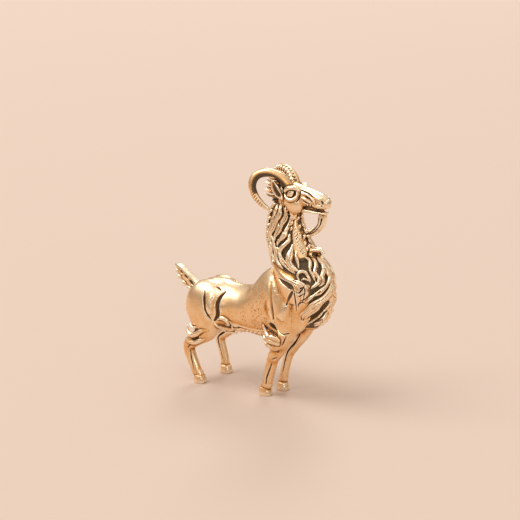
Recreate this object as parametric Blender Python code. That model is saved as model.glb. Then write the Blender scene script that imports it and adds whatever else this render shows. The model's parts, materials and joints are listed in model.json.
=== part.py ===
"""A billy goat figurine in solid cast brass, made of separate castings that are brazed together.

Every guest casting (leg, horn, ear, tail, tuft ...) keeps its whole root, and the casting that carries it
has a socket cut to the root's shape, wider all round by the gap that the braze metal fills.
Frame: metres, +X the way the goat faces, +Y its left side, +Z up, origin on the table under its middle.
"""

from itertools import combinations
from math import cos, pi, sin

import bmesh
import bpy
from mathutils import Vector

MM = 0.001
BRAZE_GAP = 0.15 * MM  # between a root and its socket, all round

# Driving dimensions of the figure, in millimetres.
BACK_HEIGHT = 21.0
BELLY_HEIGHT = 11.4
TRUNK_MIDDLE = (BACK_HEIGHT + BELLY_HEIGHT) / 2
TRUNK_HALF_HEIGHT = (BACK_HEIGHT - BELLY_HEIGHT) / 2
TRUNK_HALF_WIDTH = 4.5
HEAD_HEIGHT = 40.8
MOUTH_HEIGHT = 39.2
HOOF_HEIGHT = 1.75
HOOF_RADIUS = 1.2
TENON_DEPTH = 0.95  # how far a leg's end stands above the sole, inside its hoof

# The directions that the rings of the thick castings face.
FORWARD = (1.0, 0.0, 0.0)
UPWARD = (0.0, 0.0, 1.0)

# Where each hoof stands: x, y of the middle of its sole.
SOLES = {
    "front_right": (5.9, -2.3),
    "front_left": (6.75, 2.3),
    "hind_right": (-9.25, -4.6),
    "hind_left": (-9.05, 3.6),
}

BRASS_COLOUR = (0.80, 0.55, 0.25, 1.0)


def brass(name, roughness):
    """Antiqued brass with this roughness."""
    material = bpy.data.materials.new(name)
    material.use_nodes = True
    shader = material.node_tree.nodes["Principled BSDF"]
    shader.inputs["Base Color"].default_value = BRASS_COLOUR
    shader.inputs["Metallic"].default_value = 1.0
    shader.inputs["Roughness"].default_value = roughness
    return material


def add_object(name, mesh, material):
    """The mesh as a smooth-shaded object of the scene."""
    obj = bpy.data.objects.new(name, mesh)
    bpy.context.scene.collection.objects.link(obj)
    mesh.materials.append(material)
    mesh.shade_smooth()
    return obj


def close_end(bm, ring, pole):
    """Caps a ring with a fan of triangles to a pole."""
    tip = bm.verts.new(pole)
    for a, b in zip(ring, ring[1:] + ring[:1]):
        bm.faces.new((a, b, tip))


def lofted_mesh(name, stations, sides, facing=None, end_roundness=0.45):
    """A closed tube through stations (x, y, z, half width across Y, half depth), all in millimetres.

    Each ring stands square to the path, or all of them face one direction, which keeps the rings of a thick
    piece from crossing where its path bends. The ends are domes of end_roundness times the end's half depth.
    """
    points = [Vector(s[:3]) for s in stations]
    last = len(points) - 1
    bm = bmesh.new()
    rings = []
    for i, (point, station) in enumerate(zip(points, stations)):
        along = Vector(facing) if facing else points[min(i + 1, last)] - points[max(i - 1, 0)]
        along.normalize()
        across = (Vector((0, 1, 0)) - along * along.y).normalized()
        deep = across.cross(along)
        ring = []
        for k in range(sides):
            angle = 2 * pi * k / sides
            offset = across * station[3] * cos(angle) + deep * station[4] * sin(angle)
            ring.append(bm.verts.new((point + offset) * MM))
        rings.append(ring)
    for lower, upper in zip(rings, rings[1:]):
        bmesh.ops.bridge_loops(bm, edges=ring_edges(bm, lower) + ring_edges(bm, upper))
    for ring, point, inner, station in (
        (rings[0], points[0], points[1], stations[0]),
        (rings[-1], points[-1], points[-2], stations[-1]),
    ):
        outward = (point - inner).normalized()
        close_end(bm, ring, (point + outward * station[4] * end_roundness) * MM)
    bmesh.ops.recalc_face_normals(bm, faces=bm.faces)
    mesh = bpy.data.meshes.new(name)
    bm.to_mesh(mesh)
    bm.free()
    return mesh


def ring_edges(bm, ring):
    """The edges round a ring, made where they don't exist yet."""
    edges = []
    for a, b in zip(ring, ring[1:] + ring[:1]):
        edges.append(bm.edges.get((a, b)) or bm.edges.new((a, b)))
    return edges


def curved(stations, steps):
    """The stations with steps - 1 more in each interval, on a Catmull-Rom curve through them all."""
    made = []
    last = len(stations) - 1
    for i in range(last):
        before, a, b, after = (stations[max(0, min(last, i + k))] for k in (-1, 0, 1, 2))
        for step in range(steps):
            t = step / steps
            made.append(
                tuple(
                    0.5 * (2 * q + (r - p) * t + (2 * p - 5 * q + 4 * r - u) * t**2 + (3 * q - p - 3 * r + u) * t**3)
                    for p, q, r, u in zip(before, a, b, after)
                )
            )
    return made + [stations[last]]


def loft(name, stations, sides, material, facing=None, steps=2):
    """A cast piece lofted along the smooth curve through its stations."""
    return add_object(name, lofted_mesh(name, curved(stations, steps), sides, facing), material)


def mirrored(stations):
    """The same stations on the goat's other side."""
    return [(x, -y, z, width, depth) for x, y, z, width, depth in stations]


def along_x(rows):
    """Stations on the middle plane, from rows of x, z, half height, half width."""
    return [(x, 0.0, z, width, height) for x, z, height, width in rows]


def trunk_rows():
    """Barrel, croup and the shoulders that rise to the withers, from rump to chest."""
    mid, half, wide = TRUNK_MIDDLE, TRUNK_HALF_HEIGHT, TRUNK_HALF_WIDTH
    return [
        (-13.0, mid + 0.1, 1.7, 1.6),
        (-12.0, mid + 0.2, 3.2, 2.9),
        (-10.0, mid + 0.2, half - 0.1, wide - 0.4),
        (-7.0, mid + 0.2, half + 0.2, wide),
        (-4.0, mid, half + 0.1, wide - 0.1),
        (-1.0, mid + 0.1, half, wide - 0.1),
        (2.0, mid + 0.6, half + 0.5, wide + 0.1),
        (4.8, mid + 2.0, half + 2.1, wide + 0.4),
        (7.5, mid + 2.9, half + 2.6, wide + 0.7),
        (10.5, mid + 2.6, half + 1.8, wide + 0.5),
        (12.8, mid + 2.2, half - 0.2, wide - 0.6),
        (14.0, mid + 2.2, 2.4, 2.2),
    ]


def neck_rows():
    """Neck, mane and chest ruff as one casting: x, z, half depth along X, half width, from chest to throat."""
    return [
        (15.3, 15.8, 2.3, 2.2),
        (14.8, 17.3, 4.1, 3.9),
        (14.3, 20.0, 5.3, 5.2),
        (14.1, 23.5, 6.0, 5.7),
        (13.5, 26.0, 6.1, 5.4),
        (12.3, 28.2, 5.6, 4.9),
        (10.9, 30.6, 4.9, 4.3),
        (9.7, 33.0, 4.5, 3.8),
        (9.2, 35.8, 3.8, 3.2),
        (9.3, 38.0, 3.5, 2.7),
        (9.6, 39.7, 2.4, 1.9),
    ]


def head_rows():
    """Skull and upper muzzle, from the poll to the nose."""
    top = HEAD_HEIGHT
    return [
        (7.9, top + 0.3, 1.3, 1.2),
        (9.0, top + 0.2, 2.3, 2.0),
        (10.6, top - 0.1, 2.9, 2.5),
        (12.2, top - 0.1, 2.8, 2.5),
        (13.9, top + 0.3, 1.95, 1.9),
        (15.6, top + 0.25, 1.65, 1.55),
        (17.4, top + 0.0, 1.55, 1.5),
        (18.7, top - 0.4, 1.3, 1.35),
        (19.2, top - 0.5, 0.85, 0.95),
    ]


def jaw_rows():
    """Lower jaw with its lip, below the mouth line."""
    middle = MOUTH_HEIGHT - 0.55
    return [
        (11.4, middle - 0.1, 0.75, 0.9),
        (13.2, middle - 0.1, 0.7, 1.3),
        (15.2, middle + 0.0, 0.5, 1.2),
        (17.2, middle + 0.0, 0.5, 1.15),
        (18.8, middle + 0.0, 0.45, 0.95),
    ]


BEARD = [
    (18.0, 0, 38.5, 0.65, 0.7),
    (18.1, 0, 37.3, 0.85, 1.0),
    (18.0, 0, 36.2, 0.8, 1.0),
    (17.2, 0, 35.0, 0.75, 1.0),
    (15.9, 0, 34.1, 0.7, 0.9),
    (14.4, 0, 33.5, 0.6, 0.7),
    (13.4, 0, 33.2, 0.4, 0.5),
]
CHEST_TUFT = [
    (16.0, 0, 30.9, 0.9, 0.8),
    (17.4, 0, 31.3, 1.0, 0.8),
    (18.6, 0, 31.9, 0.7, 0.5),
    (19.4, 0, 32.1, 0.3, 0.2),
]
BELLY_TUFT = [
    (-6.4, 0, 11.3, 0.8, 0.7),
    (-5.2, 0, 10.9, 1.2, 1.0),
    (-2.9, 0, 11.1, 1.0, 0.85),
    (0.0, 0, 11.5, 0.8, 0.65),
    (3.0, 0, 12.0, 0.5, 0.4),
]
TAIL = [
    (-11.2, 0, 17.4, 0.9, 1.0),
    (-12.8, 0, 18.3, 1.0, 1.3),
    (-14.8, 0, 19.3, 1.0, 1.45),
    (-16.8, 0, 20.5, 0.95, 1.45),
    (-18.4, 0, 21.8, 0.7, 1.1),
    (-19.3, 0, 22.8, 0.35, 0.45),
]
RIGHT_HORN = [
    (11.4, -0.95, 41.9, 0.85, 0.8),
    (10.6, -1.2, 43.1, 1.05, 0.9),
    (9.6, -1.6, 44.4, 1.1, 0.9),
    (8.1, -2.2, 45.35, 1.0, 0.82),
    (6.4, -2.8, 45.6, 0.8, 0.72),
    (4.95, -3.4, 45.15, 0.68, 0.62),
    (4.0, -3.9, 44.1, 0.6, 0.56),
    (3.9, -4.3, 42.7, 0.55, 0.52),
    (4.5, -4.5, 41.3, 0.52, 0.5),
    (5.5, -4.6, 40.05, 0.48, 0.46),
    (6.8, -4.5, 39.1, 0.42, 0.42),
    (8.1, -4.3, 38.45, 0.3, 0.3),
]
RIGHT_EAR = [
    (9.8, -1.9, 40.4, 0.4, 0.5),
    (9.3, -2.6, 41.3, 0.42, 0.75),
    (8.8, -3.05, 42.5, 0.4, 0.85),
    (8.4, -3.25, 43.5, 0.32, 0.5),
    (8.2, -3.35, 44.1, 0.18, 0.18),
]
RIGHT_ELBOW_TUFT = [
    (10.6, -3.7, 13.9, 0.6, 1.3),
    (9.0, -3.9, 13.8, 0.6, 1.6),
    (7.6, -4.0, 13.8, 0.45, 1.3),
    (6.7, -4.0, 13.8, 0.25, 0.7),
]
RIGHT_HOCK_TUFT = [
    (-8.6, -4.6, 10.3, 0.6, 1.2),
    (-10.2, -4.75, 10.3, 0.65, 1.4),
    (-11.6, -4.8, 10.1, 0.5, 1.3),
    (-12.5, -4.8, 9.9, 0.3, 0.8),
]


def leg_end(sole, top_x, top_y, top_z, girth):
    """Fetlock and the tenon that stands in the hoof, below a cannon that ends at the given point."""
    x, y = SOLES[sole]
    fetlock_z = HOOF_HEIGHT + 0.65
    share = (fetlock_z + 0.7) / top_z
    lean_x, lean_y = (top_x - x) * share, (top_y - y) * share
    return [
        (x + lean_x, y + lean_y, fetlock_z + 0.7, 0.92 * girth, 1.0 * girth),
        (x + lean_x * 0.8, y + lean_y * 0.8, fetlock_z - 0.1, 0.98 * girth, 1.06 * girth),
        (x, y, HOOF_HEIGHT - 0.1, 0.62, 0.62),
        (x, y, TENON_DEPTH, 0.6, 0.6),
    ]


def foreleg(side, chest_depth, girth):
    """Shoulder muscle, forearm, knee and cannon. side is +1 for the left leg and -1 for the right one."""
    sole = "front_left" if side > 0 else "front_right"
    knee_x = 8.9
    return [
        (8.6, side * 3.3, 24.2, 1.2, 1.6),
        (9.6, side * 3.9, 22.3, 1.7, 2.7),
        (11.2, side * 4.2, 18.9, 1.9, 3.5),
        (12.3, side * 3.9, 15.6, 1.75, chest_depth),
        (11.6, side * 3.4, 13.2, 1.5 * girth, 1.85 * girth),
        (knee_x + 1.3, side * 3.0, 10.8, 1.2 * girth, 1.5 * girth),
        (knee_x - 0.1, side * 2.85, 9.0, 1.2 * girth, 1.45 * girth),
        (knee_x - 0.9, side * 2.7, 7.5, 1.0 * girth, 1.25 * girth),
        *leg_end(sole, knee_x - 1.6, side * 2.5, 5.6, girth),
    ]


def hindleg(side, hock_x, spread, girth):
    """Haunch, gaskin, hock and cannon. spread is how far the hock stands from the middle plane."""
    sole = "hind_left" if side > 0 else "hind_right"
    return [
        (-7.8, side * 2.7, 20.0, 1.2, 2.2),
        (-8.2, side * 3.3, 18.6, 2.1, 4.1),
        (-8.5, side * 3.7, 16.0, 2.4, 5.1),
        (-7.8, side * 4.1, 13.2, 2.1, 4.0),
        (-7.7, side * (spread - 0.2), 11.2, 1.6 * girth, 2.6 * girth),
        (hock_x + 2.2, side * spread, 9.4, 1.25 * girth, 1.7 * girth),
        (hock_x + 0.1, side * spread, 7.6, 1.15 * girth, 1.45 * girth),
        (hock_x + 0.2, side * spread, 5.9, 0.95 * girth, 1.15 * girth),
        *leg_end(sole, hock_x + 1.1, side * spread, 4.4, girth),
    ]


def hoof(name, centre, material, sides=16):
    """A hoof with its coronet band, as rings of an oval whose toe points along +X."""
    toe_stretch = 1.12
    profile = [
        (0.0, HOOF_RADIUS),
        (0.35, HOOF_RADIUS + 0.08),
        (HOOF_HEIGHT - 0.65, HOOF_RADIUS - 0.05),
        (HOOF_HEIGHT - 0.55, HOOF_RADIUS - 0.12),
        (HOOF_HEIGHT - 0.4, HOOF_RADIUS + 0.04),
        (HOOF_HEIGHT, HOOF_RADIUS - 0.15),
    ]
    bm = bmesh.new()
    rings = []
    for height, radius in profile:
        ring = []
        for k in range(sides):
            angle = 2 * pi * k / sides
            x = centre[0] + radius * toe_stretch * cos(angle)
            y = centre[1] + radius * sin(angle)
            ring.append(bm.verts.new(Vector((x, y, height)) * MM))
        rings.append(ring)
    for lower, upper in zip(rings, rings[1:]):
        bmesh.ops.bridge_loops(bm, edges=ring_edges(bm, lower) + ring_edges(bm, upper))
    bm.faces.new(rings[0])
    bm.faces.new(rings[-1])
    bmesh.ops.recalc_face_normals(bm, faces=bm.faces)
    mesh = bpy.data.meshes.new(name)
    bm.to_mesh(mesh)
    bm.free()
    obj = add_object(name, mesh, material)
    mesh.set_sharp_from_angle(angle=pi / 5)
    return obj


def grown_copy(guest):
    """A hidden copy of a piece, wider all round by the braze gap, for cutting its socket."""
    cutter = bpy.data.objects.new("socket_for_" + guest.name, guest.data)
    bpy.context.scene.collection.objects.link(cutter)
    growth = cutter.modifiers.new("braze_gap", "DISPLACE")
    growth.strength = BRAZE_GAP
    growth.mid_level = 0.0
    cutter.hide_render = True
    cutter.display_type = "WIRE"
    return cutter


def boxes_meet(first, second):
    """True if the pieces' boxes come within the braze gap of each other."""
    for axis in range(3):
        low = [min(v.co[axis] for v in obj.data.vertices) for obj in (first, second)]
        high = [max(v.co[axis] for v in obj.data.vertices) for obj in (first, second)]
        if max(low) > min(high) + 2 * BRAZE_GAP:
            return False
    return True


def cut_sockets(pieces):
    """Each piece is cut by every later one that it meets, so the list runs from carriers to guests."""
    cutters = {}
    hosts = {}
    for host, guest in combinations(pieces, 2):
        if not boxes_meet(host, guest):
            continue
        if guest.name not in cutters:
            cutters[guest.name] = grown_copy(guest)
        hosts.setdefault(host, []).append(cutters[guest.name])
    for host, roots in hosts.items():
        group = bpy.data.collections.new("roots_in_" + host.name)
        for root in roots:
            group.objects.link(root)
        socket = host.modifiers.new("sockets", "BOOLEAN")
        socket.operation = "DIFFERENCE"
        socket.operand_type = "COLLECTION"
        socket.collection = group


def build():
    for obj in list(bpy.data.objects):
        bpy.data.objects.remove(obj)
    smooth = brass("polished_brass", 0.22)
    chased = brass("chased_brass", 0.32)

    hooves = [hoof("hoof_" + name, xy, smooth) for name, xy in SOLES.items()]
    carriers = [
        loft("trunk", along_x(trunk_rows()), 20, smooth, FORWARD),
        loft("neck_mane", [(x, 0, z, w, d) for x, z, d, w in neck_rows()], 20, chased, UPWARD),
        loft("head", along_x(head_rows()), 16, smooth, FORWARD),
        loft("lower_jaw", along_x(jaw_rows()), 10, smooth, FORWARD),
    ]
    legs = [
        loft("foreleg_right", foreleg(-1, 2.7, 1.0), 12, smooth),
        loft("foreleg_left", foreleg(+1, 1.8, 0.78), 12, smooth),
        loft("hindleg_right", hindleg(-1, -11.9, 4.6, 1.0), 12, smooth),
        loft("hindleg_left", hindleg(+1, -10.6, 3.8, 0.85), 12, smooth),
    ]
    guests = [
        loft("horn_right", RIGHT_HORN, 10, chased),
        loft("horn_left", mirrored(RIGHT_HORN), 10, chased),
        loft("ear_right", RIGHT_EAR, 10, smooth),
        loft("ear_left", mirrored(RIGHT_EAR), 10, smooth),
        loft("beard", BEARD, 10, chased),
        loft("chest_tuft", CHEST_TUFT, 8, chased),
        loft("belly_tuft", BELLY_TUFT, 10, chased),
        loft("tail", TAIL, 10, chased),
        loft("elbow_tuft_right", RIGHT_ELBOW_TUFT, 8, chased),
        loft("elbow_tuft_left", mirrored(RIGHT_ELBOW_TUFT), 8, chased),
        loft("hock_tuft_right", RIGHT_HOCK_TUFT, 8, chased),
        loft("hock_tuft_left", mirrored(RIGHT_HOCK_TUFT), 8, chased),
    ]
    cut_sockets(hooves + carriers + legs + guests)


build()
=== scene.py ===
"""The billy goat figurine as it looks: cast brass with an antique patina, chased hair, muscles, horn rings and
hooves.

The figure is sculpted as one solid, a field that is negative inside the metal, built up from strokes. Each
CAD node then gets its own closed mesh: the part of that solid that lies in the node's own region. All
lengths here are millimetres in the CAD frame, +X forward, +Y the goat's left and +Z up, until a mesh is made.
"""

import json
from math import cos, pi, radians, sin

import bpy
import numpy as np
import openvdb
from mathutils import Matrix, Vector


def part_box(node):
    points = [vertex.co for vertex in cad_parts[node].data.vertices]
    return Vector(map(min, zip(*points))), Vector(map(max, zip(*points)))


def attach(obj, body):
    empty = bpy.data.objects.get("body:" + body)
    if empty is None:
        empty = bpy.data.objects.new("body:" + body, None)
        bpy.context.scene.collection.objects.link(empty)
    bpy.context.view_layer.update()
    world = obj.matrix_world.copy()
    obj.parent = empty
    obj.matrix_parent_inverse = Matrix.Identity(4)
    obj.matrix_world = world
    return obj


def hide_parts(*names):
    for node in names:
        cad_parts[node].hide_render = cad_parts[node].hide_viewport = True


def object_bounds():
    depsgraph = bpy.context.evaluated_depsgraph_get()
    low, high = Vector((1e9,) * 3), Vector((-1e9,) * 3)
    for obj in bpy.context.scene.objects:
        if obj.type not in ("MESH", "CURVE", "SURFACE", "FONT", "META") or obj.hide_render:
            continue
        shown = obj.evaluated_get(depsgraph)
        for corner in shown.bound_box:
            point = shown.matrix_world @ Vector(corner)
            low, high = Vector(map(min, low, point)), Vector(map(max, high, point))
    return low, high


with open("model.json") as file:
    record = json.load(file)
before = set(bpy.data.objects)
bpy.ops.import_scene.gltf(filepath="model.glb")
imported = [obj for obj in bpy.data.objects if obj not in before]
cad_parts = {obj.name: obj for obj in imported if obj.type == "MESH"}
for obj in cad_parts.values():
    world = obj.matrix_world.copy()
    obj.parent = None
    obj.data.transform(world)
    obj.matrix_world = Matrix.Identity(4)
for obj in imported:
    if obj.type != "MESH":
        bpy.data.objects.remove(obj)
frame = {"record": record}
CAD_LOW, CAD_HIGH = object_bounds()

CAD_HEIGHT_MM = 46.3  # the height at which every size below was set
MM = (CAD_HIGH.z - CAD_LOW.z) / CAD_HEIGHT_MM
FAR = 5.0  # the field's value away from every stroke
FINE, MEDIUM, COARSE = ((0.08, 0.108, 0.13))  # voxel sizes
RIGHT, LEFT = -1, 1


# ---------------------------------------------------------------- paths


def curved(rows, steps):
    """The rows with steps - 1 more in each interval, on a Catmull-Rom curve through them all."""
    rows = np.array(rows, dtype=float)
    last = len(rows) - 1
    made = []
    for i in range(last):
        before, a, b, after = (rows[max(0, min(last, i + k))] for k in (-1, 0, 1, 2))
        for t in np.arange(steps) / steps:
            bend = 2 * before - 5 * a + 4 * b - after
            turn = 3 * a - before - 3 * b + after
            made.append(0.5 * (2 * a + (b - before) * t + bend * t**2 + turn * t**3))
    made.append(rows[last])
    return np.array(made)


def mirrored(rows):
    """The same rows on the goat's other side."""
    return [(row[0], -row[1], *row[2:]) for row in rows]


SIDES = ((RIGHT, list), (LEFT, mirrored))  # each side with what carries the right side's rows to it


def grown(rows, room):
    """The rows with both half sizes larger."""
    return [(*row[:3], row[3] + room, row[4] + room) for row in rows]


def unit(v):
    """The vector at length 1."""
    return v / max(np.linalg.norm(v), 1e-9)


# ---------------------------------------------------------------- shapes
# A shape has low and high corners, and field(x, y, z), which takes three 1-D arrays and gives the
# shape's signed distance on their grid, near enough where it is close to 0.


def window(lines, low, high):
    """The slices of three sorted lines that lie between two corners, or None where one of them is empty."""
    made = tuple(slice(*np.searchsorted(line, (low[i], high[i]))) for i, line in enumerate(lines))
    return made if all(part.start < part.stop for part in made) else None


class Loft:
    """Ellipses square to X (axis 0) or Z (axis 2): rows of position, centre, half size, half size across Y.

    The third number is the half height on a loft along X, and the half depth along X on an upright one.
    """

    def __init__(self, axis, rows, square=2.0, steps=8, y=0.0):
        self.axis = axis
        self.square = square
        self.y = y
        self.rows = curved(rows, steps)
        centre, half = self.rows[:, 1], self.rows[:, 2]
        across = self.rows[:, 3].max()
        span = (self.rows[0, 0], self.rows[-1, 0])
        other = (np.min(centre - half), np.max(centre + half))
        xs, zs = (span, other) if axis == 0 else (other, span)
        self.low = np.array([xs[0], y - across, zs[0]])
        self.high = np.array([xs[1], y + across, zs[1]])

    def field(self, x, y, z):
        along, other = (x, z) if self.axis == 0 else (z, x)
        at, centre, half, across = self.rows.T
        centre, half, across = (np.interp(along, at, c) for c in (centre, half, across))
        past = np.maximum(np.maximum(at[0] - along, along - at[-1]), 0)
        if self.axis == 0:
            centre, half, across, past = (c[:, None, None] for c in (centre, half, across, past))
            other = other[None, None, :]
        else:
            centre, half, across, past = (c[None, None, :] for c in (centre, half, across, past))
            other = other[:, None, None]
        u = np.abs((other - centre) / half)
        v = np.abs((y[None, :, None] - self.y) / across)
        size = (u**self.square + v**self.square) ** (1 / self.square)
        distance = (size - 1) * np.minimum(half, across)
        return np.where(past > 0, np.hypot(np.maximum(distance, 0), past), distance)


class Strand:
    """Ellipses swept along a path: rows of x, y, z, half width, half depth.

    normals, one for each row, say which way the depth points. Without them the width lies across Y.
    """

    def __init__(self, rows, normals=None, steps=4, reach=0.7):
        rows = np.array(rows, dtype=float)
        if normals is not None:
            rows = np.hstack([rows, np.array(normals, dtype=float)])
        rows = curved(rows, steps)
        self.reach = reach
        self.segments = []
        for a, b in zip(rows, rows[1:]):
            along = unit(b[:3] - a[:3])
            if normals is None:
                wide = unit(np.array([0, 1, 0]) - along * along[1])
            else:
                wide = unit(np.cross(a[5:8] + b[5:8], along))
            self.segments.append((a[:3], b[:3], a[3:5], b[3:5], wide, unit(np.cross(wide, along))))
        size = rows[:, 3:5].max(axis=1)[:, None]
        self.low = (rows[:, :3] - size).min(axis=0)
        self.high = (rows[:, :3] + size).max(axis=0)

    def field(self, x, y, z):
        made = np.full((len(x), len(y), len(z)), FAR, np.float32)
        for a, b, size_a, size_b, wide, deep in self.segments:
            room = max(size_a.max(), size_b.max()) + self.reach
            part = window((x, y, z), np.minimum(a, b) - room, np.maximum(a, b) + room)
            if part:
                near = self.segment(x[part[0]], y[part[1]], z[part[2]], a, b, size_a, size_b, wide, deep)
                made[part] = np.minimum(made[part], near)
        return made

    @staticmethod
    def segment(x, y, z, a, b, size_a, size_b, wide, deep):
        """One cone segment with elliptical sections and rounded ends."""
        step = b - a
        length = max(np.linalg.norm(step), 1e-6)
        along = step / length
        grid = (x[:, None, None] - a[0], y[None, :, None] - a[1], z[None, None, :] - a[2])
        run, side, up = (sum(g * d[i] for i, g in enumerate(grid)) for d in (along, wide, deep))
        t = np.clip(run / length, 0, 1)
        width = size_a[0] + t * (size_b[0] - size_a[0])
        depth = size_a[1] + t * (size_b[1] - size_a[1])
        small = np.minimum(width, depth)
        past = (run - t * length) / small
        return (np.sqrt((side / width) ** 2 + (up / depth) ** 2 + past**2) - 1) * small


class Ball:
    """An ellipsoid, tipped by turn degrees about Y from +Z towards +X."""

    def __init__(self, centre, radii, turn=0.0):
        self.centre, self.radii, self.turn = np.array(centre), np.array(radii), radians(turn)
        self.low = self.centre - self.radii.max()
        self.high = self.centre + self.radii.max()

    def field(self, x, y, z):
        px, py, pz = (line - c for line, c in zip((x, y, z), self.centre))
        px, py, pz = px[:, None, None], py[None, :, None], pz[None, None, :]
        u = (px * cos(self.turn) - pz * sin(self.turn)) / self.radii[0]
        v = py / self.radii[1]
        w = (px * sin(self.turn) + pz * cos(self.turn)) / self.radii[2]
        return (np.sqrt(u * u + v * v + w * w) - 1) * self.radii.min()


class Slab:
    """Everything below a height."""

    def __init__(self, height):
        self.height = height
        self.low, self.high = np.array([-99.0] * 3), np.array([99.0] * 3)

    def field(self, x, y, z):
        return np.broadcast_to(z - self.height, (len(x), len(y), len(z)))


# ---------------------------------------------------------------- the clay

STROKE_ROOM = 0.25  # how far past its own blend a stroke is worked
clay = []  # (shape, blend, carve), in the order in which they are worked
darkenings = []  # (shape, amount): where the surface is made darker than its relief explains: thicker patina in some places, painted shade on the horns and painted reflection on the legs
DARKEN_EDGE = 0.3  # the width over which a darkening fades


def add(shape, blend=0.1):
    clay.append((shape, blend, False))


def cut(shape, blend=0.1):
    clay.append((shape, blend, True))


def darken(shape, amount):
    darkenings.append((shape, amount))


def soft_min(a, b, blend):
    """The smaller of the two, rounded over where they are within blend of each other."""
    h = np.maximum(blend - np.abs(a - b), 0) / blend
    return np.minimum(a, b) - h * h * blend / 4


def worked(strokes, x, y, z):
    """The field of the strokes on the grid of three 1-D arrays."""
    made = np.full((len(x), len(y), len(z)), FAR, np.float32)
    for shape, blend, carve in strokes:
        room = blend + STROKE_ROOM
        part = window((x, y, z), shape.low - room, shape.high + room)
        if part:
            field = shape.field(x[part[0]], y[part[1]], z[part[2]])
            made[part] = -soft_min(-made[part], field, blend) if carve else soft_min(made[part], field, blend)
    return made


# ---------------------------------------------------------------- the main masses


def dome(rows, share=0.55, count=5):
    """The rows with rounded ends, whose length is a share of the end row's smaller half size."""
    made = [list(row) for row in rows]
    for end, inner in ((0, 1), (-1, -2)):
        tip, next_row = np.array(rows[end], float), np.array(rows[inner], float)
        length = share * min(tip[2:4]) * np.sign(tip[0] - next_row[0])
        for k in range(1, count + 1):
            t = k / count
            row = tip.copy()
            row[0] += length * sin(t * pi / 2)
            row[2:4] *= max(cos(t * pi / 2), 0.08)
            made.insert(0, row) if end == 0 else made.append(row)
    return made


TRUNK_ROWS = [
    (-13.0, 16.3, 1.7, 1.6), (-12.0, 16.4, 3.2, 2.9), (-10.0, 16.4, 4.7, 4.1), (-7.0, 16.4, 5.0, 4.5),
    (-4.0, 16.2, 4.9, 4.4), (-1.0, 16.3, 4.8, 4.4), (2.0, 16.8, 5.3, 4.6), (4.8, 18.2, 6.9, 4.9),
    (7.5, 19.1, 7.4, 5.1), (10.5, 18.8, 6.6, 4.9), (12.8, 18.4, 4.6, 3.9), (14.0, 18.4, 2.4, 2.2),
]
# The neck's rows run upwards, and their third number is its half depth along X.
NECK_ROWS = [
    (15.8, 15.3, 2.3, 2.2), (17.3, 14.8, 4.1, 3.9), (20.0, 14.3, 5.2, 5.1), (23.5, 14.1, 5.8, 5.5),
    (26.0, 13.5, 5.9, 5.2), (28.2, 12.3, 5.4, 4.7), (30.6, 10.9, 4.7, 4.1), (33.0, 9.7, 4.3, 3.6),
    (35.8, 9.2, 3.6, 3.0), (38.0, 9.3, 3.3, 2.6), (39.7, 9.6, 2.4, 1.9),
]
HEAD_ROWS = [
    (7.9, 41.1, 1.3, 1.2), (9.0, 41.0, 2.2, 1.9), (10.6, 40.8, 2.7, 2.2), (12.2, 40.75, 2.55, 2.2),
    (13.9, 41.0, 1.95, 1.75), (15.6, 40.9, 1.7, 1.45), (17.4, 40.65, 1.55, 1.45),
    (18.7, 40.35, 1.25, 1.35), (19.1, 40.25, 0.95, 1.05),
]
JAW_ROWS = [
    (11.4, 38.5, 0.7, 0.9), (13.2, 38.5, 0.55, 1.2), (15.2, 38.5, 0.36, 1.15), (17.2, 38.45, 0.32, 1.15),
    (18.7, 38.45, 0.3, 1.0),
]

trunk = Loft(0, dome(TRUNK_ROWS))
neck = Loft(2, dome(NECK_ROWS))
MANE_DEPTH = 0.42  # how far the gaps between the locks go down from the neck's outline


def neck_loft(room):
    """The neck's masses with both half sizes larger."""
    return Loft(2, dome([(z, x, depth + room, width + room) for z, x, depth, width in NECK_ROWS]))


neck_core = neck_loft(-MANE_DEPTH)
head = Loft(0, dome(HEAD_ROWS), square=2.2)
jaw = Loft(0, dome(JAW_ROWS), square=2.6)

SOLES = {m["name"][len("sole_") :]: tuple(p / MM for p in m["pos_m"][:2]) for m in frame["record"]["mounts"]}
HOOF_HEIGHT = 1.75
HOOF_RADIUS = 1.2


def leg_end(sole, top, girth):
    """Fetlock and pastern, below a cannon that ends at the given point."""
    x, y = SOLES[sole]
    fetlock = HOOF_HEIGHT + 0.65
    share = (fetlock + 0.7) / top[2]
    lean_x, lean_y = (top[0] - x) * share, (top[1] - y) * share
    return [
        (x + lean_x, y + lean_y, fetlock + 0.7, 0.98 * girth, 1.06 * girth),
        (x + lean_x * 0.8, y + lean_y * 0.8, fetlock, 1.04 * girth, 1.14 * girth),
        (x, y, HOOF_HEIGHT - 0.1, 0.9 * girth, 0.94 * girth),
        (x, y, 0.95, 0.7, 0.7),
    ]


def foreleg_rows(side, chest_depth, girth):
    """Shoulder, forearm, knee and cannon, down to the sole."""
    sole = "front_left" if side == LEFT else "front_right"
    knee_x = 8.9
    return [
        (8.8, side * 3.0, 24.2, 1.1, 1.5),
        (9.6, side * 3.6, 22.3, 1.6, 2.6),
        (11.2, side * 3.95, 18.9, 1.8, 3.4),
        (12.3, side * 3.75, 15.6, 1.65, chest_depth),
        (11.6, side * 3.4, 13.2, 1.4 * girth, 1.75 * girth),
        (knee_x + 1.3, side * 3.0, 10.8, 1.1 * girth, 1.35 * girth),
        (knee_x - 0.1, side * 2.85, 9.0, 1.2 * girth, 1.38 * girth),
        (knee_x - 0.9, side * 2.7, 7.5, 1.02 * girth, 1.2 * girth),
        *leg_end(sole, (knee_x - 1.6, side * 2.5, 5.6), girth),
    ]


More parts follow.
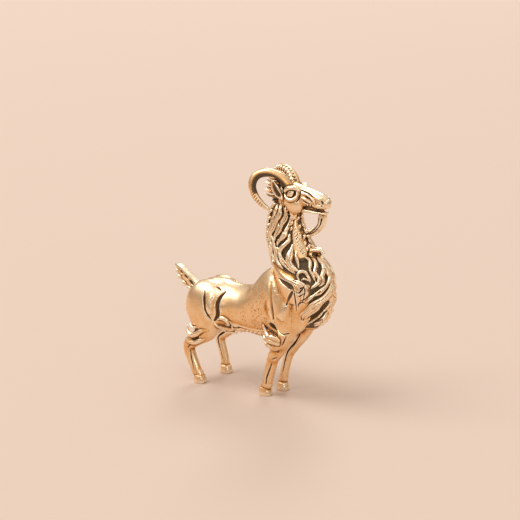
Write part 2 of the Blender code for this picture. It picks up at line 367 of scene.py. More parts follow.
def hindleg_rows(side, hock_x, spread, girth):
    """Haunch, thigh, hock and cannon, down to the sole."""
    sole = "hind_left" if side == LEFT else "hind_right"
    return [
        (-7.8, side * 2.6, 20.0, 1.1, 2.1),
        (-8.2, side * 3.1, 18.6, 2.0, 4.0),
        (-8.5, side * 3.5, 16.0, 2.3, 4.9),
        (-7.8, side * 3.9, 13.2, 2.0, 3.8),
        (-7.7, side * (spread - 0.2), 11.2, 1.5 * girth, 2.4 * girth),
        (hock_x + 2.2, side * spread, 9.4, 1.15 * girth, 1.55 * girth),
        (hock_x + 0.1, side * spread, 7.6, 1.1 * girth, 1.4 * girth),
        (hock_x + 0.2, side * spread, 5.9, 1.02 * girth, 1.25 * girth),
        *leg_end(sole, (hock_x + 1.1, side * spread, 4.4), girth),
    ]


LEG_ROWS = {
    "foreleg_right": foreleg_rows(RIGHT, 2.5, 1.0),
    "foreleg_left": foreleg_rows(LEFT, 1.7, 0.86),
    "hindleg_right": hindleg_rows(RIGHT, -11.9, 4.6, 1.0),
    "hindleg_left": hindleg_rows(LEFT, -10.6, 3.8, 0.85),
}
RIGHT_HORN = [
    (11.4, -0.95, 41.9, 0.9, 0.85), (10.6, -1.2, 43.1, 1.0, 0.85), (9.6, -1.6, 44.3, 1.0, 0.82),
    (8.1, -2.2, 45.15, 0.92, 0.78), (6.45, -2.8, 45.3, 0.84, 0.84), (5.1, -3.4, 44.85, 0.78, 0.84),
    (4.35, -3.9, 43.9, 0.74, 0.84), (4.25, -4.3, 42.7, 0.7, 0.82), (4.75, -4.5, 41.45, 0.66, 0.76),
    (5.7, -4.6, 40.3, 0.62, 0.68), (6.85, -4.5, 39.35, 0.54, 0.58), (7.95, -4.3, 38.7, 0.42, 0.44),
]
RIGHT_EAR = [
    (9.9, -1.8, 40.3, 0.4, 0.5), (9.35, -2.5, 41.2, 0.42, 0.78), (8.85, -3.0, 42.4, 0.38, 0.88),
    (8.45, -3.2, 43.4, 0.28, 0.55), (8.2, -3.3, 44.1, 0.14, 0.16),
]
BEARD = [
    (17.9, 0, 38.3, 0.6, 0.65), (17.9, 0, 37.3, 0.75, 0.8), (17.7, 0, 36.2, 0.75, 0.75),
    (16.9, 0, 35.1, 0.7, 0.8), (15.7, 0, 34.2, 0.65, 0.8), (14.3, 0, 33.6, 0.55, 0.6),
    (13.4, 0, 33.2, 0.4, 0.45),
]
CHEST_TUFT = [
    (15.2, 0, 30.4, 1.0, 0.8), (16.6, 0, 30.95, 0.8, 0.55), (17.7, 0, 31.0, 0.55, 0.36),
    (18.4, 0, 30.5, 0.2, 0.18),
]
TAIL = [
    (-11.2, 0, 17.4, 0.85, 1.0), (-12.8, 0, 18.3, 0.9, 1.2), (-14.6, 0, 19.3, 0.9, 1.3),
    (-16.4, 0, 20.4, 0.85, 1.3), (-17.6, 0, 21.4, 0.75, 1.1), (-18.5, 0, 22.0, 0.55, 0.75),
    (-19.4, 0, 22.3, 0.22, 0.24),
]
LEG_REACH = 1.6  # how far round a leg its field is worked out


def add_masses():
    """Trunk, neck, head and limbs, flowing into each other."""
    add(trunk, 0.1)
    for rows in LEG_ROWS.values():
        add(Strand(rows, steps=9, reach=LEG_REACH), 1.3)
    add(neck_core, 0.5)
    add(head, 0.6)
    for side in (RIGHT, LEFT):
        add(Ball((12.05, side * 1.25, 39.6), (2.05, 1.35, 2.0)), 0.3)


add_masses()

SKIN_STEP, ACROSS_STEP = 0.2, 0.15
skin_x = np.arange(-15, 21, SKIN_STEP)
skin_y = np.arange(-8, 8, ACROSS_STEP)
skin_z = np.arange(0, 46, SKIN_STEP)


def side_reach():
    """How far out from the middle plane the main masses reach at each x and z, for each side."""
    values = worked(clay, skin_x, skin_y, skin_z)
    reach = {}
    for side, field, out in ((LEFT, values, skin_y), (RIGHT, values[:, ::-1], -skin_y[::-1])):
        inside = field < 0
        last = np.minimum(len(out) - 1 - np.argmax(inside[:, ::-1], axis=1), len(out) - 2)
        a = np.take_along_axis(field, last[:, None], axis=1)[:, 0]
        b = np.take_along_axis(field, last[:, None] + 1, axis=1)[:, 0]
        gap = np.where(a == b, 1, a - b)
        edge = out[last] + (out[last + 1] - out[last]) * a / gap
        reach[side] = np.where(inside.any(axis=1), np.maximum(edge, 0), 0)
    return reach


REACH = side_reach()


def skin(x, z, side):
    """The point of the main masses at this x and z that stands out furthest to the side, and its normal."""

    def outside(px, pz):
        u, w = (px - skin_x[0]) / SKIN_STEP, (pz - skin_z[0]) / SKIN_STEP
        i, k = int(u), int(w)
        corners = REACH[side][i : i + 2, k : k + 2]
        along = corners[0] + (u - i) * (corners[1] - corners[0])
        return along[0] + (w - k) * (along[1] - along[0])

    here, delta = outside(x, z), 0.25
    slope_x = (outside(x + delta, z) - outside(x - delta, z)) / (2 * delta)
    slope_z = (outside(x, z + delta) - outside(x, z - delta)) / (2 * delta)
    return np.array([x, side * here, z]), unit(np.array([-slope_x, side, -slope_z]))


def on_skin(rows, side, lift=0.0):
    """A Strand on the body's side: rows of x, z, half width, half height above the skin."""
    points, normals = [], []
    for x, z, width, height in curved(rows, 3):
        point, normal = skin(x, z, side)
        points.append((*(point + normal * lift), width, height))
        normals.append(normal)
    return Strand(points, normals, steps=2)


def neck_point(z, a, side):
    """The mane's outline at this height and angle from the chest, with the neck's half sizes there."""
    at, centre, depth, width = neck.rows.T
    c, d, w = (np.interp(z, at, line) for line in (centre, depth, width))
    return np.array([c + d * cos(a), side * w * sin(a), z]), d, w


def neck_path(rows, side, lift=0.0):
    """Points with half sizes, and normals, on the mane, from rows as on_neck takes them."""
    points, normals = [], []
    step = 0.4
    for angle, z, half_width, height in curved(rows, 4):
        a = radians(angle)
        point, d, w = neck_point(z, a, side)
        up = neck_point(z + step, a, side)[0] - point
        round_ = np.array([-d * sin(a), side * w * cos(a), 0.0])
        normal = unit(np.cross(round_, up))
        normal *= np.sign(normal @ np.array([cos(a) / d, side * sin(a) / w, 0.0]))
        points.append((*(point + normal * lift), half_width, height))
        normals.append(normal)
    return np.array(points), np.array(normals)


def on_neck(rows, side, lift=0.0):
    """A Strand on the mane: rows of degrees round from the chest, z, half width, half height."""
    return Strand(*neck_path(rows, side, lift), steps=1)


def engrave(points, normals, shares):
    """Fine lines along a strand where it is wide, each at a share of its half width from the middle."""
    width, depth, narrowest = 0.06, 0.24, 0.27
    wide = points[:, 3] > narrowest
    if wide.sum() < 3:
        return
    along = np.gradient(points[:, :3], axis=0)
    for share in shares:
        line, facing = [], []
        for i in np.flatnonzero(wide):
            sideways = unit(np.cross(normals[i], along[i]))
            rise = normals[i] * points[i, 4] * (1 - share**2) ** 0.5
            line.append((*(points[i, :3] + sideways * points[i, 3] * share + rise), width, depth))
            facing.append(normals[i])
        for row in (0, -1):
            line[row] = (*line[row][:3], width * 0.5, depth * 0.4)
        cut(Strand(line, facing, steps=1), 0.05)


# ---------------------------------------------------------------- features

# The right side's locks of the mane: degrees round from the chest, z, half width, half height.
LOCKS = [
    # from under the cheek down and back
    [
        (86, 39.1, 0.3, 0.3), (84, 37.7, 0.44, 0.46), (90, 36.3, 0.58, 0.56),
        (100, 34.9, 0.56, 0.54), (109, 33.6, 0.34, 0.4), (114, 32.7, 0.1, 0.1),
    ],
    [
        (62, 39.0, 0.25, 0.3), (60, 37.7, 0.4, 0.46), (66, 36.3, 0.5, 0.52),
        (78, 35.0, 0.58, 0.58), (90, 33.8, 0.48, 0.52), (98, 32.5, 0.14, 0.14),
    ],
    [
        (43, 37.0, 0.18, 0.25), (52, 35.2, 0.34, 0.44), (66, 33.8, 0.48, 0.54), (81, 32.7, 0.42, 0.48),
        (93, 31.6, 0.14, 0.14),
    ],
    [
        (50, 33.9, 0.14, 0.2), (58, 32.8, 0.36, 0.44), (71, 31.9, 0.46, 0.46), (85, 31.0, 0.38, 0.38),
        (95, 30.0, 0.1, 0.1),
    ],
    # short ones under the jaw
    [(44, 39.0, 0.2, 0.25), (42, 37.9, 0.42, 0.42), (37, 36.7, 0.14, 0.14)],
    [(26, 38.9, 0.2, 0.25), (27, 37.9, 0.4, 0.4), (22, 36.9, 0.12, 0.12)],
    [(106, 39.0, 0.2, 0.25), (103, 38.0, 0.4, 0.36), (100, 37.0, 0.12, 0.12)],
    # the broad bright one, and a thin one before it
    [
        (50, 32.0, 0.18, 0.25), (58, 30.9, 0.45, 0.5), (69, 30.0, 0.66, 0.64),
        (75, 28.9, 0.66, 0.6), (69, 27.9, 0.42, 0.44), (60, 27.4, 0.12, 0.12),
    ],
    [(43, 31.2, 0.14, 0.15), (51, 30.1, 0.28, 0.4), (56, 29.1, 0.3, 0.4), (58, 28.0, 0.15, 0.15)],
    # further back on the neck
    [
        (96, 31.2, 0.15, 0.15), (92, 29.8, 0.4, 0.4), (90, 28.6, 0.42, 0.4), (80, 27.6, 0.3, 0.3),
        (70, 27.0, 0.1, 0.1),
    ],
    [
        (108, 33.0, 0.15, 0.15), (104, 31.3, 0.4, 0.36), (108, 29.8, 0.42, 0.38), (105, 28.4, 0.32, 0.32),
        (96, 27.5, 0.1, 0.1),
    ],
    [
        (106, 37.3, 0.2, 0.2), (110, 35.6, 0.45, 0.4), (119, 33.8, 0.45, 0.4), (123, 32.0, 0.3, 0.3),
        (120, 30.6, 0.1, 0.1),
    ],
    [(128, 33.0, 0.15, 0.15), (122, 31.2, 0.4, 0.32), (126, 29.6, 0.4, 0.32), (120, 28.2, 0.12, 0.12)],
    # ring curl
    [
        (66, 25.9, 0.16, 0.2), (64, 26.8, 0.3, 0.5), (56, 27.4, 0.38, 0.56),
        (48, 27.2, 0.34, 0.5), (44, 26.3, 0.26, 0.4), (46, 25.6, 0.1, 0.12),
    ],
    [(61, 25.9, 0.12, 0.1), (54, 26.15, 0.24, 0.4), (48, 25.8, 0.12, 0.1)],
    # wavy ones on the chest, each further round than the last
    [
        (35, 30.0, 0.14, 0.15), (28, 29.3, 0.3, 0.42), (31, 28.3, 0.32, 0.44), (36, 27.4, 0.28, 0.4),
        (37, 26.4, 0.26, 0.36), (33, 25.6, 0.1, 0.1),
    ],
    [
        (14, 30.3, 0.14, 0.15), (13, 29.3, 0.34, 0.46), (19, 28.2, 0.38, 0.5),
        (27, 27.2, 0.38, 0.5), (27, 26.1, 0.42, 0.5), (34, 25.1, 0.4, 0.48), (45, 24.3, 0.12, 0.12),
    ],
    [
        (-2, 29.5, 0.14, 0.15), (-2, 28.2, 0.38, 0.46), (6, 27.2, 0.44, 0.52), (15, 26.4, 0.44, 0.52),
        (19, 25.4, 0.36, 0.44), (28, 24.7, 0.1, 0.1),
    ],
    [
        (-15, 29.3, 0.2, 0.2), (-17, 28.0, 0.42, 0.42), (-12, 26.7, 0.5, 0.5), (-3, 25.6, 0.48, 0.5),
        (8, 24.9, 0.3, 0.36), (14, 24.5, 0.1, 0.1),
    ],
    # long ones that sweep down and back over the chest
    [
        (4, 24.8, 0.14, 0.15), (11, 24.5, 0.34, 0.42), (22, 24.0, 0.42, 0.48), (33, 23.4, 0.38, 0.44),
        (45, 22.8, 0.1, 0.1),
    ],
    [
        (-12, 25.6, 0.2, 0.2), (-5, 24.2, 0.55, 0.52), (6, 23.0, 0.7, 0.6), (20, 21.9, 0.8, 0.6),
        (36, 20.8, 0.95, 0.6), (50, 19.8, 1.0, 0.56), (62, 18.7, 0.7, 0.42), (70, 17.6, 0.2, 0.2),
    ],
    [
        (-22, 24.4, 0.2, 0.2), (-15, 22.7, 0.6, 0.5), (-6, 21.1, 0.66, 0.56), (8, 20.2, 0.55, 0.5),
        (20, 19.5, 0.3, 0.34), (28, 19.1, 0.1, 0.1),
    ],
    [
        (12, 20.0, 0.14, 0.15), (23, 19.2, 0.42, 0.44), (36, 18.5, 0.5, 0.46), (50, 17.5, 0.4, 0.4),
        (60, 16.7, 0.1, 0.1),
    ],
    [(-2, 19.3, 0.14, 0.15), (9, 18.3, 0.44, 0.42), (24, 17.5, 0.4, 0.4), (40, 16.8, 0.1, 0.1)],
    [
        (-20, 21.4, 0.14, 0.15), (-15, 19.7, 0.55, 0.45), (-6, 18.2, 0.55, 0.45), (8, 17.1, 0.36, 0.36),
        (20, 16.6, 0.1, 0.1),
    ],
    # the bright plate above the shoulder
    [
        (80, 25.6, 0.3, 0.2), (66, 24.9, 0.8, 0.46), (60, 23.7, 1.0, 0.5), (62, 22.5, 0.75, 0.44),
        (68, 21.5, 0.25, 0.2),
    ],
    [(38, 23.2, 0.1, 0.12), (44, 22.6, 0.32, 0.4), (52, 21.9, 0.3, 0.36), (60, 21.3, 0.1, 0.12)],
    # short ends under the ruff
    [(20, 17.0, 0.1, 0.12), (28, 16.6, 0.3, 0.3), (38, 16.3, 0.1, 0.1)],
    [(-2, 16.8, 0.1, 0.12), (6, 16.3, 0.3, 0.3), (16, 16.0, 0.1, 0.1)],
]
# The smooth skin between the mane and the shoulder, and the flat ground under the chest's locks.
SHOULDER = [
    (152, 26.9, 0.7, 0.42), (130, 25.8, 1.2, 0.46), (106, 24.7, 1.7, 0.5),
    (88, 23.9, 2.0, 0.5), (72, 23.5, 1.7, 0.48), (60, 23.4, 0.8, 0.42),
]
UNDERLAY = [
    (56, 24.8, 0.8, 0.42), (61, 23.0, 1.2, 0.44), (65, 21.0, 1.4, 0.44), (66, 18.9, 1.3, 0.44),
    (62, 17.2, 0.8, 0.4),
]
# The thin line on which the mane ends.
COLLAR = [
    (152, 28.2, 0.08, 0.15), (128, 27.5, 0.13, 0.34), (106, 26.8, 0.14, 0.36), (89, 26.2, 0.14, 0.36),
    (76, 25.7, 0.08, 0.2),
]
# The dark hollow below that line, and the creases that run down from it.
HOLLOWS = [
    [
        (114, 25.4, 0.14, 0.25), (105, 25.1, 0.36, 0.55), (94, 24.8, 0.5, 0.66), (85, 24.4, 0.5, 0.66),
        (79, 23.9, 0.16, 0.3),
    ],
    [(80, 23.9, 0.14, 0.25), (86, 22.9, 0.3, 0.3), (94, 21.7, 0.3, 0.26), (101, 20.4, 0.14, 0.12)],
    [(79, 23.9, 0.1, 0.25), (77, 22.6, 0.13, 0.36), (76, 21.2, 0.13, 0.34), (77, 19.8, 0.08, 0.12)],
]
# Engraved lines in the plate and along the ruff's lower bulk.
PLATE_LINES = [
    [(76, 23.9, 0.06, 0.12), (70, 23.4, 0.12, 0.36), (63, 24.0, 0.11, 0.36), (56, 24.9, 0.06, 0.1)],
    [(71, 22.7, 0.06, 0.12), (66, 22.9, 0.11, 0.34), (59, 23.5, 0.06, 0.1)],
    [(66, 21.9, 0.06, 0.12), (59, 22.2, 0.11, 0.32), (53, 22.7, 0.06, 0.1)],
    [(72, 20.2, 0.06, 0.12), (70, 21.2, 0.13, 0.36), (62, 21.6, 0.12, 0.34), (54, 21.3, 0.06, 0.1)],
]
# A flat pitted plate between the locks, on the front of the neck.
PLATE = [
    (21, 36.6, 0.3, 0.3), (26, 34.8, 0.7, 0.42), (30, 33.0, 1.05, 0.46),
    (34, 31.4, 1.3, 0.46), (38, 30.2, 1.2, 0.44), (41, 29.3, 0.5, 0.25),
]
FRONT_KNOBS = [
    (9, 33.1), (19, 33.4), (12, 32.1), (4, 31.4), (14, 31.1), (38, 35.9), (42, 34.9), (30, 36.9),
    (12, 36.8), (10, 35.2),
]
# Faint lines in the ruff's broad locks.
STREAKS = [
    [(24, 22.4), (40, 21.3), (58, 20.0)], [(30, 21.3), (46, 20.2), (62, 18.9)],
    [(12, 21.9), (26, 20.9), (42, 19.6)], [(44, 19.4), (56, 18.4), (64, 17.4)],
]
# Short dark slots in the locks, each from one point to the other, and long grooves under the ruff's bulk.
SLOTS = [
    [(74, 36.2), (77, 35.3)], [(63, 35.0), (66, 34.1)], [(84, 33.6), (80, 32.7)],
    [(57, 33.5), (61, 32.7)], [(98, 33.9), (101, 33.0)], [(70, 31.4), (75, 30.9)],
    [(112, 31.4), (114, 30.2)], [(100, 29.6), (98, 28.6)], [(124, 34.4), (126, 33.2)],
    [(117, 36.3), (120, 35.3)], [(16, 27.9), (21, 27.2)], [(30, 26.2), (33, 25.4)],
    [(-6, 27.6), (0, 26.9)], [(60, 24.6), (66, 24.2)], [(48, 18.7), (56, 18.0)], [(26, 23.8), (34, 23.3)],
]
RUFF_GROOVES = [
    [
        (2, 21.3, 0.1, 0.2), (14, 20.3, 0.2, 0.5), (28, 19.2, 0.22, 0.55), (44, 18.2, 0.2, 0.5),
        (56, 17.4, 0.08, 0.15),
    ],
    [(14, 17.9, 0.08, 0.15), (28, 17.6, 0.16, 0.4), (46, 17.3, 0.14, 0.36), (60, 16.9, 0.06, 0.1)],
]


def waved(lock, k):
    """The lock with its path swung a little from side to side, and its width swelling and narrowing."""
    rows = []
    for angle, z, width, height in curved(lock, 2):
        swing, swell = 1.8 * sin(2.3 * z + 1.7 * k), 1.08 + 0.12 * sin(2.9 * z + 2.1 * k)
        rows.append((angle + swing * (width > 0.2), z, width * swell, height))
    return rows


def add_mane():
    """The locks of the neck and the shoulder, with their hollows and engraved lines."""
    for side in (RIGHT, LEFT):
        locks = LOCKS
        if side == LEFT:  # on the middle of the chest the right side's locks lie over these
            locks = [[(max(row[0], 6), *row[1:]) for row in lock] for lock in LOCKS]
        locks = [waved(lock, k) for k, lock in enumerate(locks)]
        add(on_neck(SHOULDER, side, lift=-0.36), 0.5)
        add(on_neck(UNDERLAY, side, lift=-0.34), 0.5)
        add(Ball((14.3, side * 3.5, 17.3), (2.3, 1.6, 2.4), -30), 0.9)
        add(on_neck(PLATE, side, lift=-0.3), 0.1)
        for lock in locks:
            add(on_neck(lock, side, lift=-0.05), 0.04)
        for angle, z in FRONT_KNOBS:
            knob = [
                (angle - 3, z + 0.45, 0.1, 0.15), (angle, z, 0.28, 0.42), (angle + 5, z - 0.4, 0.1, 0.15),
            ]
            add(on_neck(knob, side, lift=-0.1), 0.04)
        for lock in locks:
            broadest = max(row[2] for row in lock)
            if broadest > 0.5:
                engrave(*neck_path(lock, side, lift=-0.05), (-0.45, 0.35) if broadest > 0.8 else (0.3,))
        for streak in STREAKS:
            cut(on_neck([(angle, z, 0.06, 0.16) for angle, z in streak], side, lift=0.5), 0.08)
        for line in PLATE_LINES + [COLLAR]:
            cut(on_neck(line, side, lift=0.2), 0.05)
        for hollow in HOLLOWS + RUFF_GROOVES:
            cut(on_neck(hollow, side, lift=0.1), 0.12)
        for (a, z), (a2, z2) in SLOTS:
            slot = [(a, z, 0.06, 0.12), ((a + a2) / 2 + 1, (z + z2) / 2, 0.15, 0.45), (a2, z2, 0.05, 0.1)]
            cut(on_neck(slot, side, lift=0.3), 0.05)
        dark = [(40, 29.4, 0.7, 0.5), (47, 28.5, 0.9, 0.5), (54, 27.9, 0.7, 0.5)]
        darken(on_neck(dark, side, lift=-0.3), 0.25)
        for k in range(26):
            angle, z = 26 + 12 * ((k * 0.618) % 1), 30.2 + 5.2 * k / 26
            pit = [(angle, z + 0.08, 0.07, 0.12), (angle, z, 0.09, 0.2), (angle, z - 0.08, 0.07, 0.12)]
            cut(on_neck(pit, side, lift=0.12), 0.04)
        add_fringe(side)


def add_fringe(side):
    """Short rough tufts down the back of the neck, which stand out from its outline."""
    for k in range(17):
        z = 39.4 - 0.68 * k
        for j, angle in enumerate((176, 158, 141)):
            a = radians(angle + 7 * (k % 2))
            root, d, w = neck_point(z - 0.22 * j, a, side)
            out = np.array([cos(a), side * sin(a) * w / d, 0.0])
            root = root - out * 0.4
            middle = root + out * 0.5 + np.array([0, 0, -0.35])
            tip = root + out * (0.8 - 0.18 * j) + np.array([0, 0, -0.9])
            add(Strand([(*root, 0.34, 0.34), (*middle, 0.3, 0.26), (*tip, 0.1, 0.1)], steps=2), 0.05)


def add_horn(flip, side):
    """One horn: two rows of knobs on its inner face, notches along the top and rings near the tip."""
    rows = flip(RIGHT_HORN)
    add(Strand(rows, steps=5), 0.25)
    path = curved(rows, 6)
    middle = np.array([7.0, rows[4][1], 42.3])
    inward = np.array([0.0, -side, 0.0])

    def ring(at):
        i = int(at)
        point = path[i] + (at - i) * (path[i + 1] - path[i])
        along = unit(path[i + 1, :3] - path[i, :3])
        outward = point[:3] - middle
        outward = unit(outward - along * (outward @ along))
        sideways = unit(inward - along * (inward @ along) - outward * (inward @ outward))
        return point, along, outward, sideways

    def arc(at, turns, width, depth, reach):
        """A stroke across the horn, at turns in radians from its outer edge towards its inner face."""
        point, _, outward, sideways = ring(at)
        places = [point[:3] + (outward * cos(t) + sideways * sin(t)) * point[4] * reach for t in turns]
        return Strand([(*place, width, depth) for place in places], steps=3)

    for k in range(10):
        point, along, outward, sideways = ring(3.5 + k * 2.9)
        size = 0.62 - 0.025 * k
        for turn in (1.15, 2.05):
            way = outward * cos(turn) + sideways * sin(turn)
            add(Ball(point[:3] + way * point[4] * 0.9 + along * size * (turn > 1), (size, size, size)), 0.05)
    for k in range(7):
        cut(arc(7 + k * 2.4, (0.1, 0.4, 0.8), 0.14, 0.24, 1.04), 0.05)
    for k in range(8):
        cut(arc(46 + k * 2.1, (-1.6, -0.6, 0.4), 0.12, 0.2, 1.0), 0.05)
    # a long dark groove along the inside of the curve
    groove = []
    for at in np.arange(8, 52, 4.0):
        point, _, outward, sideways = ring(at)
        groove.append((*(point[:3] - sideways * point[4] * 0.75 - outward * point[4] * 0.8), 0.16, 0.2))
    cut(Strand(groove, steps=2), 0.1)
    # painted shade: the horn's inner face is made darker along the groove
    darken(Strand([(x, y, z, 0.9, 0.6) for x, y, z, _, _ in groove], steps=2), 0.26)
    darken(Strand(grown(rows, 0.2), steps=3), 0.1)


def add_ear(flip, side):
    """One ear: a leaf with a hollow face and a rolled rim."""
    rows = flip(RIGHT_EAR)
    add(Strand(rows, steps=5), 0.1)

    def leaf(forward, out, width, share):
        """A strand along the ear's face, as deep as a share of the ear."""
        inner = [(x + forward, y + side * out, z, width, depth * share) for x, y, z, _, depth in rows[1:4]]
        return Strand(inner, steps=5)

    cut(leaf(0.12, 0.34, 0.52, 0.58), 0.05)
    cut(leaf(0.1, 0.2, 0.4, 0.22), 0.03)
    darken(leaf(0.12, 0.2, 0.5, 0.42), 0.7)
    add(Ball((10.0, side * 2.4, 40.6), (0.34, 0.34, 0.34)), 0.05)
    cut(Ball((10.05, side * 2.7, 40.6), (0.14, 0.14, 0.14)), 0.03)


BROW = [
    (9.9, 2.05, 41.3, 0.22, 0.22), (10.5, 2.1, 42.1, 0.38, 0.36), (11.3, 2.0, 42.65, 0.44, 0.42),
    (12.3, 1.8, 42.85, 0.46, 0.42), (13.1, 1.55, 42.55, 0.38, 0.36), (13.8, 1.4, 42.1, 0.16, 0.16),
]
FACE_STROKES = [  # stroke, blend, lift, rows of x, z, half width, depth or height
    # the eye's corners, worked before the brow
    (cut, 0.03, 0.0, [(12.55, 42.2, 0.06, 0.5), (12.65, 41.75, 0.12, 0.62), (12.3, 41.2, 0.08, 0.5)]),
    (cut, 0.03, 0.2, [(11.35, 41.6, 0.05, 0.2), (11.8, 41.85, 0.1, 0.3), (12.3, 42.0, 0.05, 0.2)]),
    # lower lid, running up in front of the eye, and the groove before it
    (add, 0.06, 0.0, [
        (10.5, 41.5, 0.14, 0.2), (10.9, 40.95, 0.3, 0.42), (11.7, 40.55, 0.38, 0.52),
        (12.6, 40.65, 0.36, 0.5), (13.2, 41.3, 0.3, 0.44), (13.15, 42.15, 0.18, 0.28),
    ]),
    (cut, 0.06, 0.0, [
        (13.7, 42.3, 0.08, 0.12), (13.75, 41.6, 0.16, 0.42), (13.6, 40.8, 0.15, 0.38),
        (13.2, 40.2, 0.06, 0.1),
    ]),
    # ridges along the muzzle, with grooves above, between and below them
    (cut, 0.06, 0.0, [
        (13.6, 42.55, 0.08, 0.12), (14.6, 42.3, 0.16, 0.36), (15.6, 42.0, 0.14, 0.34),
        (16.8, 41.4, 0.06, 0.1),
    ]),
    (add, 0.06, 0.0, [
        (14.0, 41.95, 0.12, 0.15), (15.0, 41.85, 0.2, 0.34), (16.0, 41.45, 0.22, 0.36),
        (16.9, 40.8, 0.24, 0.36), (17.2, 40.0, 0.12, 0.15),
    ]),
    (cut, 0.05, 0.0, [
        (14.2, 41.55, 0.06, 0.1), (15.0, 41.45, 0.12, 0.34), (15.9, 41.05, 0.12, 0.34),
        (16.5, 40.4, 0.06, 0.1),
    ]),
    (add, 0.06, 0.0, [(14.2, 41.1, 0.12, 0.12), (15.1, 40.9, 0.32, 0.42), (16.0, 40.4, 0.14, 0.16)]),
    (cut, 0.05, 0.0, [(14.1, 40.8, 0.06, 0.1), (14.9, 40.3, 0.13, 0.34), (15.9, 39.95, 0.08, 0.16)]),
    (add, 0.15, 0.0, [(16.4, 39.75, 0.2, 0.16), (17.6, 39.8, 0.4, 0.26), (18.7, 39.75, 0.3, 0.18)]),
    # nostril
    (cut, 0.05, 0.0, [(18.3, 41.0, 0.08, 0.12), (18.7, 40.8, 0.17, 0.5), (18.9, 40.4, 0.1, 0.25)]),
    (add, 0.05, 0.0, [(18.0, 41.2, 0.1, 0.12), (18.45, 41.4, 0.18, 0.28), (18.9, 41.05, 0.1, 0.16)]),
]
MUZZLE_PITS = [(17.6, 41.6), (18.1, 40.2), (17.8, 40.6), (18.6, 40.05), (17.2, 41.8), (18.3, 39.6)]


def add_face(side):
    """Eye, brow, muzzle ridges, nostril and cheek of one side."""
    eye = skin(11.9, 41.55, side)[0]
    cut(Ball(eye, (1.4, 0.6, 0.95), -20), 0.08)
    add(Ball(eye - np.array([0.1, side * 0.36, 0.02]), (1.05, 0.62, 0.72), -20), 0.03)
    for stroke, blend, lift, rows in FACE_STROKES[:2]:
        stroke(on_skin(rows, side, lift), blend)
    add(Strand([(x, side * y, z, width, height) for x, y, z, width, height in BROW], steps=4), 0.12)
    for stroke, blend, lift, rows in FACE_STROKES[2:]:
        stroke(on_skin(rows, side, lift), blend)
    for x, z in MUZZLE_PITS:
        cut(Ball(skin(x, z, side)[0], (0.15, 0.18, 0.13)), 0.03)
    z = 39.5
    for x in (14.7, 15.3, 15.9):  # wrinkles at the corner of the mouth
        wrinkle = [(x + 0.15, z + 0.35, 0.05, 0.1), (x, z, 0.12, 0.34), (x - 0.25, z - 0.35, 0.05, 0.1)]
        cut(on_skin(wrinkle, side), 0.04)
    # the cheek's double rim
    for radius, depth in ((2.1, 0.42), (2.6, 0.3)):
        rim = [
            (12.1 + radius * cos(radians(a)), 39.6 + radius * sin(radians(a)), 0.13, depth)
            for a in range(170, 300, 13)
        ]
        cut(on_skin(rim, side), 0.06)
    ear_gap = [
        (9.2, 43.6, 0.16, 0.4), (9.8, 42.7, 0.36, 0.9), (10.2, 41.7, 0.3, 0.8), (10.3, 40.8, 0.1, 0.2),
    ]
    cut(on_skin(ear_gap, side), 0.08)


# Height of the tip, length.
POLL_TUFTS = [(44.3, 2.8), (43.7, 2.3), (43.0, 3.1), (42.3, 2.4), (41.6, 3.0), (40.9, 2.5), (40.2, 2.1)]


def add_poll():
    """Spiky tufts at the back of the head."""
    for k, (z, length) in enumerate(POLL_TUFTS):
        for side in (RIGHT, LEFT):
            y = side * (0.75 + 0.35 * (k % 2))
            root = 8.3 - 0.1 * k
            spike = [
                (root, y, z - 0.5, 0.5, 0.34), (root - length * 0.5, y * 1.25, z - 0.5, 0.4, 0.26),
                (root - length * 0.8, y * 1.4, z - 0.25, 0.26, 0.2), (root - length, y * 1.5, z, 0.1, 0.1),
            ]
            add(Strand(spike, steps=3), 0.05)
    darken(Ball((7.0, 0, 42.0), (2.3, 2.6, 2.9)), 0.34)


def add_mouth():
    """The slit between muzzle and lower jaw, closed in behind the lips."""
    add(jaw, 0.04)
    slit = [(15.9, 38.88, 0.1, 2.2), (16.8, 38.92, 0.24, 2.2), (19.6, 38.98, 0.27, 2.2)]
    cut(Loft(0, dome(slit, share=0.3)), 0.03)
    add(Strand([(14.4, 0, 38.95, 0.7, 0.5), (17.8, 0, 38.95, 0.4, 0.4)]), 0.02)


def add_beard():
    """The beard: four strands with dark gaps between, curving back to the neck."""
    for turn in (45, 135, 225, 315):
        strand = []
        for x, _, z, width, depth in BEARD:
            a = radians(turn + 14 * (x - 15))
            place = (x + 0.6 * depth * cos(a), 0.6 * width * sin(a), z + 0.3 * depth * cos(a))
            strand.append((*place, width * 0.66, depth * 0.68))
        add(Strand(strand, steps=4), 0.03)
    for side in (RIGHT, LEFT):
        for out in (-0.35, 0.35):
            middle = BEARD[1:6]
            line = [(x + out * depth, side * width * 0.85, z + 0.1, 0.3, 0.1) for x, _, z, width, depth in middle]
            cut(Strand(line, steps=3), 0.05)
    for x, z in ((15.2, 34.6), (14.4, 34.4), (14.9, 33.5), (14.0, 33.4)):
        for side in (RIGHT, LEFT):
            add(Ball((x, side * 0.42, z), (0.34, 0.4, 0.34)), 0.03)


def add_chest_tuft():
    """A flat tongue of hair that stands out from the chest, with two thinner ones under it."""
    add(Strand(CHEST_TUFT, steps=4), 0.15)
    for side in (RIGHT, LEFT):
        lower = [
            (15.4, 0.75, 30.0, 0.55, 0.5), (16.9, 1.05, 30.15, 0.5, 0.45), (18.4, 0.95, 30.5, 0.12, 0.12),
        ]
        add(Strand([(x, side * y, z, width, depth) for x, y, z, width, depth in lower]), 0.05)
        cut(Strand([(15.8, side * 0.5, 31.1, 0.1, 0.34), (18.2, side * 0.4, 31.9, 0.08, 0.2)]), 0.05)


